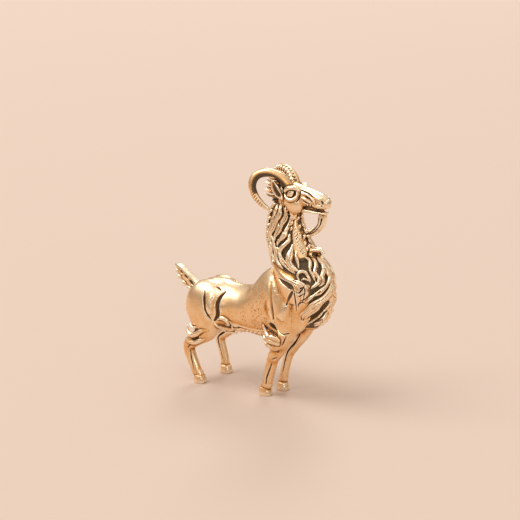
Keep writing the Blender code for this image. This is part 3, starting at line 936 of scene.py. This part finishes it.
# The curls' rows are x, y, z, half width, half depth.
RIGHT_ELBOW_CURLS = [
    [
        (11.0, -4.5, 12.9, 0.7, 0.6), (9.8, -4.9, 13.3, 0.7, 0.6), (8.8, -4.8, 13.2, 0.6, 0.5),
        (7.9, -4.6, 13.9, 0.42, 0.4), (7.0, -4.4, 15.2, 0.2, 0.2),
    ],
    [
        (10.8, -4.6, 12.3, 0.7, 0.65), (9.4, -4.95, 12.5, 0.75, 0.62), (8.0, -4.7, 12.5, 0.6, 0.52),
        (7.4, -4.5, 12.9, 0.4, 0.36),
    ],
    [
        (10.2, -4.2, 11.1, 0.6, 0.6), (9.0, -4.5, 11.3, 0.65, 0.55), (8.1, -4.3, 11.3, 0.55, 0.5),
        (7.6, -4.2, 11.6, 0.4, 0.36),
    ],
]
RIGHT_HOCK_CURLS = [
    [
        (-6.2, -5.3, 11.9, 0.3, 0.3), (-7.6, -5.6, 11.5, 0.5, 0.48), (-9.0, -5.65, 10.6, 0.6, 0.58),
        (-10.4, -5.5, 10.0, 0.6, 0.52), (-11.6, -5.3, 10.5, 0.45, 0.42), (-12.1, -5.1, 11.6, 0.16, 0.16),
    ],
    [
        (-6.9, -5.2, 10.0, 0.3, 0.3), (-8.4, -5.5, 9.2, 0.55, 0.5), (-10.0, -5.4, 8.5, 0.6, 0.52),
        (-11.7, -5.2, 8.5, 0.5, 0.46), (-12.5, -5.0, 8.9, 0.2, 0.2),
    ],
    [(-9.0, -5.6, 12.0, 0.25, 0.2), (-10.2, -5.5, 11.7, 0.36, 0.3), (-11.1, -5.4, 12.3, 0.12, 0.12)],
]


def add_curls():
    """The tufts behind the elbows and above the hocks, with a hollow behind each."""
    for side, flip in SIDES:
        for x, y, z, width, depth in flip([(9.4, -4.4, 14.3, 0.9, 1.6), (-9.4, -5.3, 10.4, 0.5, 1.5)]):
            cut(Ball((x, y * 1.06, z), (depth * 0.8, width * 0.5, depth)), 0.2)
        add(Ball((9.7, side * 4.3, 12.0), (1.7, 0.75, 1.7)), 0.4)
        for curl in RIGHT_ELBOW_CURLS + RIGHT_HOCK_CURLS:
            add(Strand(flip(curl)), 0.04)


TAIL_KNOTS = [
    (-13.6, 17.7, 0.5), (-15.1, 18.0, 0.66), (-16.6, 18.9, 0.72), (-17.8, 20.0, 0.7), (-18.5, 21.2, 0.56),
]
# Dark patches along the tail's flank: x, z, half length, half height.
TAIL_PATCHES = [
    (-13.0, 18.5, 0.75, 0.3), (-14.5, 19.4, 0.8, 0.34), (-15.9, 20.4, 0.7, 0.3), (-17.2, 21.2, 0.6, 0.26),
]


def add_tail():
    """The raised tail: dark patches along its flanks, and knots of hair down its lower edge."""
    add(Strand(TAIL, steps=4), 0.4)
    for x, z, size in TAIL_KNOTS:
        for side in (RIGHT, LEFT):
            add(Ball((x, side * 0.4, z), (size, size * 0.85, size * 0.75), 35), 0.04)
            slit = [(x + 0.5, side * 0.6, z + 0.5, 0.1, 0.2), (x + 1.0, side * 0.95, z + 0.2, 0.1, 0.16)]
            cut(Strand(slit, steps=1), 0.05)
    for x, z, length, height in TAIL_PATCHES:
        for side in (RIGHT, LEFT):
            patch = Ball((x, side * 1.0, z), (height, 0.6, length), -52)
            cut(patch, 0.08)
            darken(patch, 0.2)


def add_hooves():
    """A block with a coronet band, flat under the sole and split at the toe."""
    r = HOOF_RADIUS
    for x, y in SOLES.values():
        rows = [
            (-0.2, x + 0.16, r * 1.08, r * 1.02),
            (0.5, x + 0.14, r * 1.08, r * 1.0),
            (1.1, x + 0.08, r * 1.0, r * 0.93),
            (1.2, x + 0.06, r * 0.93, r * 0.87),
            (1.3, x + 0.05, r * 0.99, r * 0.93),
            (1.6, x, r * 0.9, r * 0.86),
            (1.78, x, r * 0.72, r * 0.7),
        ]
        add(Loft(2, rows, square=2.3, steps=3, y=y), 0.05)
        cut(Strand([(x + 1.5, y, -0.2, 0.07, 0.3), (x + 1.35, y, 0.95, 0.04, 0.15)]), 0.05)


# The rows of the grooves and ridges are x, z, half width, depth or height.
GROOVES = [
    # in front of the haunch, two dark grooves
    [
        (-7.6, 19.6, 0.1, 0.12), (-7.35, 18.4, 0.28, 0.6), (-7.1, 17.2, 0.28, 0.62),
        (-6.7, 15.9, 0.24, 0.55), (-6.0, 14.9, 0.26, 0.5), (-5.4, 14.1, 0.1, 0.1),
    ],
    [
        (-3.6, 19.8, 0.12, 0.2), (-4.1, 19.0, 0.34, 0.6), (-4.4, 17.7, 0.42, 0.75),
        (-4.2, 16.4, 0.4, 0.75), (-4.2, 15.2, 0.36, 0.65), (-4.8, 14.0, 0.2, 0.3),
    ],
    [(-6.0, 20.4, 0.1, 0.1), (-5.3, 20.3, 0.22, 0.32), (-4.6, 19.9, 0.1, 0.12)],
    # between barrel and shoulder, and the shoulder's own creases
    [
        (9.0, 24.2, 0.2, 0.12), (9.4, 22.6, 0.42, 0.26), (9.7, 20.8, 0.42, 0.3), (10.1, 18.8, 0.4, 0.34),
        (10.3, 17.3, 0.3, 0.36),
    ],
    [(10.6, 24.2, 0.06, 0.1), (10.9, 23.4, 0.15, 0.3), (11.2, 22.6, 0.06, 0.1)],
    # under the elbow, and down the forearm and the cannon
    [(10.2, 15.5, 0.2, 0.4), (11.2, 14.8, 0.18, 0.4), (12.4, 14.4, 0.16, 0.36), (13.7, 14.8, 0.12, 0.2)],
    [(13.1, 14.1, 0.08, 0.15), (11.9, 12.2, 0.15, 0.36), (10.3, 10.1, 0.08, 0.15)],
    [(8.5, 7.2, 0.08, 0.12), (7.7, 5.4, 0.14, 0.36), (7.1, 4.0, 0.14, 0.36), (6.9, 2.7, 0.08, 0.15)],
    [(9.9, 8.8, 0.06, 0.1), (9.4, 8.6, 0.13, 0.32), (8.8, 8.3, 0.05, 0.1)],
    # hock and hind cannon
    [(-9.0, 9.0, 0.08, 0.1), (-10.4, 8.3, 0.14, 0.3), (-11.4, 7.3, 0.08, 0.1)],
    [(-11.0, 6.6, 0.06, 0.1), (-10.7, 5.0, 0.12, 0.28), (-10.1, 3.0, 0.08, 0.12)],
]
RIDGES = [
    # the swelling between the two haunch grooves
    [(-5.7, 19.0, 0.3, 0.2), (-6.0, 17.3, 0.55, 0.4), (-5.7, 15.6, 0.4, 0.25)],
    # the shoulder's front muscle
    [(14.4, 22.0, 0.3, 0.15), (13.4, 20.2, 0.8, 0.35), (12.4, 17.8, 0.8, 0.3)],
    # the fold along the flank, above the belly's hair
    [
        (-2.6, 14.2, 0.12, 0.12), (-0.4, 13.8, 0.2, 0.24), (2.4, 13.5, 0.18, 0.2),
        (5.4, 13.6, 0.16, 0.18), (8.0, 14.1, 0.1, 0.1),
    ],
]
# The rope of hair along the belly's edge, from the flank's curls to the elbow.
BELLY_CURLS = [
    [
        (-4.3, 14.3, 0.15, 0.2), (-3.4, 14.7, 0.4, 0.5), (-2.4, 14.3, 0.45, 0.6), (-2.3, 13.4, 0.36, 0.5),
        (-3.1, 13.2, 0.15, 0.2),
    ],
    [
        (-4.8, 13.4, 0.15, 0.2), (-4.2, 12.6, 0.45, 0.6), (-3.1, 12.1, 0.5, 0.6), (-2.0, 12.4, 0.4, 0.5),
        (-1.8, 13.1, 0.12, 0.15),
    ],
    [(-1.9, 14.3, 0.12, 0.15), (-1.1, 13.7, 0.36, 0.45), (-0.2, 13.5, 0.3, 0.4), (0.4, 13.9, 0.12, 0.15)],
    [(-1.5, 12.6, 0.15, 0.2), (-0.5, 12.6, 0.42, 0.46), (0.6, 13.0, 0.3, 0.36), (1.3, 13.4, 0.1, 0.1)],
]


def add_body_details():
    """Muscles, creases, armpits and the rope of hair along the belly's edge."""
    for side in (RIGHT, LEFT):
        for rows in RIDGES:
            add(on_skin(rows, side), 0.35)
        for rows in GROOVES:
            cut(on_skin(rows, side), 0.18)
        armpit = skin(9.7, 15.4, side)[0]
        cut(Ball(armpit, (1.0, 1.2, 0.85)), 0.25)
        darken(Ball(armpit, (1.1, 1.4, 0.9)), 0.25)
        for rows in BELLY_CURLS:
            add(on_skin(rows, side), 0.04)
        for k in range(7):
            x = 1.0 + 1.1 * k
            rise = 0.05 * k
            knob = [
                (x - 0.8, 12.6 + rise, 0.12, 0.15), (x, 12.9 + rise, 0.38, 0.4),
                (x + 0.9, 13.3 + rise, 0.12, 0.15),
            ]
            add(on_skin(knob, side), 0.05)


def add_tendons():
    """A dark groove down the inner face of each leg, and a painted reflection of a warm floor that makes each leg
    darker and more orange from the joint down.
    """
    for rows in LEG_ROWS.values():
        # painted reflection: nested darkenings, deepest near the hoof
        for first in (4, 5, 6):
            darken(Strand(grown(rows[first:], 0.4), steps=3), 0.022)
        inner = [(x, y - np.sign(y) * width * 0.95, z, 0.42, 0.18) for x, y, z, width, _ in rows[4:9]]
        inner[0], inner[-1] = (*inner[0][:3], 0.1, 0.05), (*inner[-1][:3], 0.1, 0.05)
        cut(Strand(inner, steps=3), 0.08)


def add_belly_tuft():
    """The knobbly ridge of hair under the belly."""
    for k in range(9):
        x = -6.0 + 1.05 * k
        z = 11.35 - 0.5 * sin(k * 1.1) * (1 if k < 4 else 0.3) + 0.07 * k + 0.2 * max(k - 4, 0)
        for side in (RIGHT, LEFT):
            size = 0.62 - 0.035 * k
            place = (x + 0.2 * side, side * size * 0.7, z - 0.45)
            add(Ball(place, (size * 1.1, size * 0.75, size * 0.8), 25), 0.07)


def add_pits():
    """Casting pits on the front of the barrel and on the shoulder."""
    draw = np.random.default_rng(7)
    for side in (RIGHT, LEFT):
        for _ in range(420):
            x, z = draw.normal(7.2, 2.6), draw.uniform(13.8, 23.5)
            size = draw.uniform(0.05, 0.115)
            if -3.0 < x < 14.0:
                cut(Ball(skin(x, z, side)[0], (size, size * 1.1, size)), 0.04)


# ---------------------------------------------------------------- regions: which node owns which metal

HOOF_TOP = HOOF_HEIGHT - 0.05
HOOF_ROOM = 2.2


def leg_region(name, rows):
    """A leg's region: wider than the leg, and on a foreleg no further back than the shoulder's crease."""
    rows = grown(rows, 0.25)
    if name.startswith("foreleg"):
        y = rows[1][1]
        rows[:3] = [(10.1, y, 24.3, 2.4, 0.9), (11.2, y, 22.3, 2.6, 1.7), (12.3, y * 1.05, 18.9, 2.6, 2.45)]
    return rows


def regions():
    """Node, shapes, voxel size and slot. A node owns what lies in its shapes and in no earlier node's."""
    made = [("hoof_" + sole, [HoofBlock(x, y)], MEDIUM, "polished_brass") for sole, (x, y) in SOLES.items()]

    def own(node, strokes, room, voxel, slot="chased_brass", reach=0.7):
        made.append((node, [Strand(grown(rows, room), reach=reach) for rows in strokes], voxel, slot))

    names = {RIGHT: "_right", LEFT: "_left"}
    for side, flip in SIDES:
        own("horn" + names[side], [flip(RIGHT_HORN)], 0.45, FINE, reach=1.0)
        own("ear" + names[side], [flip(RIGHT_EAR)], 0.3, FINE, "polished_brass", reach=1.0)
    own("beard", [BEARD], 0.55, FINE, reach=1.0)
    own("chest_tuft", [CHEST_TUFT], 0.3, FINE, reach=1.0)
    own("tail", [TAIL], 1.0, MEDIUM, reach=1.0)
    for side, flip in SIDES:
        own("elbow_tuft" + names[side], [flip(curl) for curl in RIGHT_ELBOW_CURLS], 0.15, MEDIUM)
        own("hock_tuft" + names[side], [flip(curl) for curl in RIGHT_HOCK_CURLS], 0.15, MEDIUM)
    own("belly_tuft", [[(-7.2, 0, 10.9, 1.6, 0.9), (3.2, 0, 11.2, 1.4, 0.8)]], 0, MEDIUM)
    own("lower_jaw", [[(16.2, 0, 38.4, 1.9, 0.55), (20, 0, 38.4, 1.9, 0.55)]], 0, FINE, "polished_brass")
    skull = [
        (7.4, 41.7, 1.9, 3.4), (10.0, 41.4, 2.9, 3.8), (12.5, 40.7, 3.2, 3.9),
        (15.0, 40.6, 3.0, 3.2), (19.4, 40.2, 2.6, 2.6),
    ]
    poll = Strand([(8.2, 0, 42.4, 2.4, 2.7), (5.0, 0, 42.4, 2.4, 2.5)])
    made.append(("head", [Loft(0, dome(skull)), poll], FINE, "polished_brass"))
    for name, rows in LEG_ROWS.items():
        shapes = [Strand(leg_region(name, rows), steps=5, reach=LEG_REACH)]
        if name.startswith("foreleg"):  # the metal under the elbow's curls is the leg's
            shapes.append(Ball((9.7, np.sign(rows[0][1]) * 4.3, 12.0), (2.2, 1.3, 2.2)))
        made.append((name, shapes, COARSE, "polished_brass"))
    brisket = Ball((14.2, 0, 15.3), (3.2, 8.6, 3.6))
    made.append(("neck_mane", [neck_loft(0.8), brisket], MEDIUM, "chased_brass"))
    made.append(("trunk", [Slab(99)], COARSE, "polished_brass"))
    return made


class HoofBlock:
    """The box round one hoof, up to the coronet."""

    def __init__(self, x, y):
        self.x, self.y = x, y
        self.low = np.array([x - HOOF_ROOM, y - HOOF_ROOM, -1.0])
        self.high = np.array([x + HOOF_ROOM, y + HOOF_ROOM, HOOF_TOP])

    def field(self, x, y, z):
        sides = np.maximum(np.abs(x - self.x)[:, None, None], np.abs(y - self.y)[None, :, None]) - HOOF_ROOM
        return np.maximum(sides, z[None, None, :] - HOOF_TOP)


# ---------------------------------------------------------------- meshing


def smoothed(field, radius):
    """The field averaged over a box of this many voxels each way, twice."""
    for axis in range(3):
        for _ in range(2):
            total = np.cumsum(field, axis=axis, dtype=np.float64)
            n = field.shape[axis]
            upper = np.minimum(np.arange(n) + radius, n - 1)
            lower = np.maximum(np.arange(n) - radius - 1, 0)
            count = (upper - lower).reshape([-1 if i == axis else 1 for i in range(3)])
            field = ((np.take(total, upper, axis) - np.take(total, lower, axis)) / count).astype(np.float32)
    return field


def sampled(field, points):
    """The field between grid points, at points in voxels."""
    points = np.clip(points, 0, np.array(field.shape) - 1.001)
    base = points.astype(int)
    share = points - base
    value = 0.0
    for dx in (0, 1):
        for dy in (0, 1):
            for dz in (0, 1):
                weight = abs(1 - dx - share[:, 0]) * abs(1 - dy - share[:, 1]) * abs(1 - dz - share[:, 2])
                value = value + weight * field[base[:, 0] + dx, base[:, 1] + dy, base[:, 2] + dz]
    return value


WAVES = [(unit(way), k) for k, way in enumerate(np.random.default_rng(3).normal(size=(14, 3)))]


def hand_worked(x, y, z):
    """A slight unevenness of the whole surface, in millimetres: broad lumps and finer ones."""
    grid = (x[:, None, None], y[None, :, None], z[None, None, :])
    total = 0.0
    for k, (direction, phase) in enumerate(WAVES):
        scale, share = (2.2, 1.5) if k % 2 else (6.5, 0.15)
        total = total + np.sin(sum(g * c for g, c in zip(grid, direction)) * scale + 2.4 * phase) * share
    return (0.0045 * total).astype(np.float32)


ROOM = 3.0  # how far a node's metal is looked for outside its CAD box
OVERLAP = 0.7  # how far a piece reaches under its neighbour's edge, in voxels, so that no gap shows
FINE_REACH, BROAD_REACH = 0.16, 0.5  # over what distances the two attributes average the metal; the patina and the painted shade are coloured from them
SHARP_FOLD = radians(62)
CRUMB = 0.05  # cubic millimetres: a loose island smaller than this is left out


def without_crumbs(points, quads, voxel):
    """The mesh without its tiny loose islands and the bubbles inside it."""
    island = np.arange(len(points))
    a, b = quads.ravel(), np.roll(quads, 1, axis=1).ravel()
    while True:
        lower = np.minimum(island[a], island[b])
        joined = island.copy()
        np.minimum.at(joined, island[a], lower)
        np.minimum.at(joined, island[b], lower)
        joined = joined[joined]
        if np.array_equal(joined, island):
            break
        island = joined
    p, q, r, t = (points[quads[:, k]] * voxel for k in range(4))
    volume = (np.einsum("ij,ij->i", p, np.cross(q, r)) + np.einsum("ij,ij->i", p, np.cross(r, t))) / 6
    kept = np.bincount(island[quads[:, 0]], weights=volume, minlength=len(points))[island] > CRUMB
    return points[kept], (np.cumsum(kept) - 1)[quads[kept[quads[:, 0]]]]


def placed(name, data):
    """A new object in the scene."""
    made = bpy.data.objects.new(name, data)
    bpy.context.scene.collection.objects.link(made)
    return made


def make_piece(node, shapes, taken, voxel):
    """The node's mesh: the worked clay inside its shapes and outside the shapes taken before it."""
    low, high = (np.array(corner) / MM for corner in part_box(node))
    low = np.maximum(low - ROOM, np.min([shape.low for shape in shapes], axis=0) - voxel * 3)
    high = np.minimum(high + ROOM, np.max([shape.high for shape in shapes], axis=0) + voxel * 3)
    x, y, z = (np.arange(low[i], high[i], voxel) for i in range(3))
    solid = worked(clay, x, y, z) + hand_worked(x, y, z)
    metal = np.clip(0.5 - solid / voxel, 0, 1)
    fine, broad = (smoothed(metal, round(reach / voxel)) for reach in (FINE_REACH, BROAD_REACH))
    solid = np.maximum(solid, -z[None, None, :])  # flat soles
    inside = np.full_like(solid, FAR)
    for shape in shapes:
        inside = np.minimum(inside, shape.field(x, y, z))
    piece = np.maximum(solid, inside)
    for shape in taken:
        if np.all(shape.high + 0.2 > low) and np.all(shape.low - 0.2 < high):
            piece = np.maximum(piece, -shape.field(x, y, z) - OVERLAP * voxel)
    if node == "neck_mane":  # the bottoms of the gaps between the locks lie in the dark
        fine += np.clip(-neck.field(x, y, z) / MANE_DEPTH, 0, 1) * 0.1
    # darkenings: thicker patina in some places, painted shade on the horns' inner faces and painted reflection
    # down the legs
    for shape, amount in darkenings:
        part = window((x, y, z), shape.low - DARKEN_EDGE, shape.high + DARKEN_EDGE)
        if part:
            near = shape.field(x[part[0]], y[part[1]], z[part[2]])
            fine[part] += amount * np.clip(0.5 - near / DARKEN_EDGE, 0, 1)
    grid = openvdb.FloatGrid(FAR)
    grid.copyFromArray(np.clip(piece / voxel, -3, 3).astype(np.float32))
    points, quads = without_crumbs(*grid.convertToQuads(0.0), voxel)
    mesh = bpy.data.meshes.new(node)
    mesh.from_pydata((points * voxel + low) * MM, [], quads.tolist())
    # the first attribute holds the patina of fine recesses, the painted shade at the bottoms of the mane's gaps
    # and the darkenings; the second holds broad hollows, coloured as patina and painted shade
    for name, field in (("patina_and_painted_shade", fine), ("hollow", broad)):
        mesh.attributes.new(name, "FLOAT", "POINT").data.foreach_set("value", sampled(field, points) - 0.5)
    mesh.shade_smooth()
    mesh.set_sharp_from_angle(angle=SHARP_FOLD)
    return placed("cast_" + node, mesh)


# ---------------------------------------------------------------- materials


def feed(tree, socket, value):
    """Links the socket to another one, or sets its value."""
    if isinstance(value, bpy.types.NodeSocket):
        tree.links.new(value, socket)
    else:
        socket.default_value = value


def shader_node(tree, kind, **inputs):
    """A shader node with values or links for its inputs."""
    made = tree.nodes.new(kind)
    for name, value in inputs.items():
        feed(tree, made.inputs[name], value)
    return made


def maths(tree, operation, *values):
    """A Math node's output."""
    made = tree.nodes.new("ShaderNodeMath")
    made.operation = operation
    for socket, value in zip(made.inputs, values):
        feed(tree, socket, value)
    return made.outputs[0]


def ramp(tree, factor, stops):
    """A ColorRamp's output, from stops of position and colour or grey."""
    made = tree.nodes.new("ShaderNodeValToRGB")
    tree.links.new(factor, made.inputs["Fac"])
    elements = made.color_ramp.elements
    while len(elements) < len(stops):
        elements.new(1.0)
    for element, (position, colour) in zip(elements, stops):
        element.position = position
        element.color = (*colour, 1) if isinstance(colour, tuple) else (colour, colour, colour, 1)
    return made.outputs["Color"]


PATINA_AND_PAINTED_LIGHT = [  # the brass's colour by depth, from worn high spots to blackened recesses; depth also carries painted light on up-facing surfaces and painted shade in broad hollows, and this ramp paints them
    (0.10, (1.0, 0.86, 0.66)),
    (0.34, (0.98, 0.73, 0.46)),
    (0.54, (0.90, 0.54, 0.235)),
    (0.68, (0.74, 0.36, 0.11)),
    (0.80, (0.32, 0.17, 0.06)),
    (0.92, (0.115, 0.078, 0.038)),
]


def antiqued_with_painted_light(name, wear):
    """Brass that is bright on its high spots and keeps a dark patina in its recesses, with painted shade in broad
    hollows and painted light on the surfaces that face up.

    wear raises or lowers how deep a point has to lie before it is dark.
    """
    material = bpy.data.materials.new(name)
    material.use_nodes = True
    tree = material.node_tree
    shader = tree.nodes["Principled BSDF"]
    place = tree.nodes.new("ShaderNodeTexCoord").outputs["Object"]
    patina_and_painted_shade, hollow = (tree.nodes.new("ShaderNodeAttribute") for _ in range(2))
    patina_and_painted_shade.attribute_name, hollow.attribute_name = "patina_and_painted_shade", "hollow"
    mottle = shader_node(tree, "ShaderNodeTexNoise", Vector=place, Scale=700.0, Detail=4.0, Roughness=0.6)
    grain = shader_node(tree, "ShaderNodeTexNoise", Vector=place, Scale=3800.0, Detail=3.0, Roughness=0.65)
    normal = tree.nodes.new("ShaderNodeNewGeometry").outputs["Normal"]
    painted_top_light = shader_node(tree, "ShaderNodeSeparateXYZ", Vector=normal).outputs["Z"]
    # how deep a point lies, 0 on the highest spots and 1 at the bottom of a groove, with painted shade added in
    # broad hollows and painted light taken off where surfaces face up
    depth = maths(tree, "MULTIPLY_ADD", patina_and_painted_shade.outputs["Fac"], 3.0, 0.5 - wear)
    for value, share in (
        # patina and painted shade: broad hollows are made darker
        (hollow.outputs["Fac"], 1.6),
        # painted light: surfaces that face up are made paler, as if lit from above
        (painted_top_light, -0.15),
        (maths(tree, "SUBTRACT", mottle.outputs["Fac"], 0.5), 0.3),
        (maths(tree, "SUBTRACT", grain.outputs["Fac"], 0.5), 0.3),
    ):
        depth = maths(tree, "ADD", depth, maths(tree, "MULTIPLY", value, share))
    tree.links.new(ramp(tree, depth, PATINA_AND_PAINTED_LIGHT), shader.inputs["Base Color"])
    tree.links.new(ramp(tree, depth, [(0.2, 0.26), (0.5, 0.38), (0.9, 0.65)]), shader.inputs["Roughness"])
    tree.links.new(ramp(tree, depth, [(0.7, 1.0), (0.92, 0.5)]), shader.inputs["Metallic"])
    shader.inputs["Coat Weight"].default_value = 0.35
    shader.inputs["Coat Roughness"].default_value = 0.3
    bump = shader_node(tree, "ShaderNodeBump", Height=grain.outputs["Fac"], Strength=0.35, Distance=0.00006)
    tree.links.new(bump.outputs["Normal"], shader.inputs["Normal"])
    return material


# ---------------------------------------------------------------- camera, light and floor


def add_camera():
    """The camera stands 300 mm off, low in front of the goat's right side."""
    azimuth, elevation, distance = radians(38), radians(14.5), 0.300
    target = Vector((1, 2.3, 26)) * MM
    back = Vector((sin(azimuth) * cos(elevation), -cos(azimuth) * cos(elevation), sin(elevation)))
    camera = placed("camera", bpy.data.cameras.new("camera"))
    camera.location = target + back * distance
    camera.rotation_mode = "QUATERNION"
    camera.rotation_quaternion = (-back).to_track_quat("-Z", "Y")
    camera.data.sensor_width = 36
    camera.data.lens = 103.85
    camera.data.clip_start = 0.01
    bpy.context.scene.camera = camera


GOAT_MIDDLE = Vector((0, 0, 0.02))


def add_softbox(name, place, size, power, colour):
    """A square area light that faces the goat."""
    light = bpy.data.lights.new(name, "AREA")
    light.size, light.energy, light.color = size, power, colour
    lamp = placed(name, light)
    lamp.location = place
    lamp.rotation_mode = "QUATERNION"
    lamp.rotation_quaternion = (Vector(place) - GOAT_MIDDLE).to_track_quat("Z", "Y")


SKY = [
    (0.0, (0.24, 0.16, 0.11)),
    (0.12, (0.34, 0.25, 0.18)),
    (0.45, (0.68, 0.59, 0.50)),
    (1.0, (0.95, 0.88, 0.80)),
]


def add_studio():
    """A pale floor, a bright softbox overhead to the left, and dim surroundings for the brass to reflect."""
    mesh = bpy.data.meshes.new("floor")
    half = 3.0
    corners = [(-half, -half, 0), (half, -half, 0), (half, half, 0), (-half, half, 0)]
    mesh.from_pydata(corners, [], [(0, 1, 2, 3)])
    floor = placed("floor", mesh)
    paper = bpy.data.materials.new("pale_paper")
    paper.use_nodes = True
    shader = paper.node_tree.nodes["Principled BSDF"]
    shader.inputs["Base Color"].default_value = (0.66, 0.54, 0.465, 1)
    shader.inputs["Roughness"].default_value = 0.9
    shader.inputs["Specular IOR Level"].default_value = 0.2
    mesh.materials.append(paper)
    add_softbox("key", (-1.3, -1.1, 2.4), 2.0, 41.0, (1.0, 0.98, 0.95))
    add_softbox("fill", (2.0, -1.4, 1.1), 0.6, 6.0, (1.0, 0.93, 0.86))
    add_softbox("rim", (-0.9, 1.6, 1.5), 0.8, 12.0, (1.0, 1.0, 1.0))
    world = bpy.data.worlds.new("studio")
    bpy.context.scene.world = world
    world.use_nodes = True
    tree = world.node_tree
    place = tree.nodes.new("ShaderNodeTexCoord").outputs["Generated"]
    height = shader_node(tree, "ShaderNodeSeparateXYZ", Vector=place).outputs["Z"]
    tree.links.new(ramp(tree, height, SKY), tree.nodes["Background"].inputs["Color"])
    bpy.context.scene.view_settings.view_transform = "Standard"


# ---------------------------------------------------------------- putting it together


def main():
    """Works all the clay, then makes each node's piece, the studio and the camera."""
    add_body_details()
    add_mane()
    for side in (RIGHT, LEFT):
        add_face(side)
    add_poll()
    add_mouth()
    for side, flip in SIDES:
        add_ear(flip, side)
        add_horn(flip, side)
    add_beard()
    add_chest_tuft()
    add_tail()
    add_curls()
    add_belly_tuft()
    add_tendons()
    add_pits()
    add_hooves()
    wear = {"polished_brass": 0.02, "chased_brass": -0.02}
    brass = {name: antiqued_with_painted_light(name, amount) for name, amount in wear.items()}
    taken = []
    for name, shapes, voxel, slot in regions():
        piece = make_piece(name, shapes, taken, voxel)
        taken += shapes
        piece.data.materials.append(brass[slot])
        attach(piece, "root")
        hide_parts(name)
    add_studio()
    add_camera()


main()
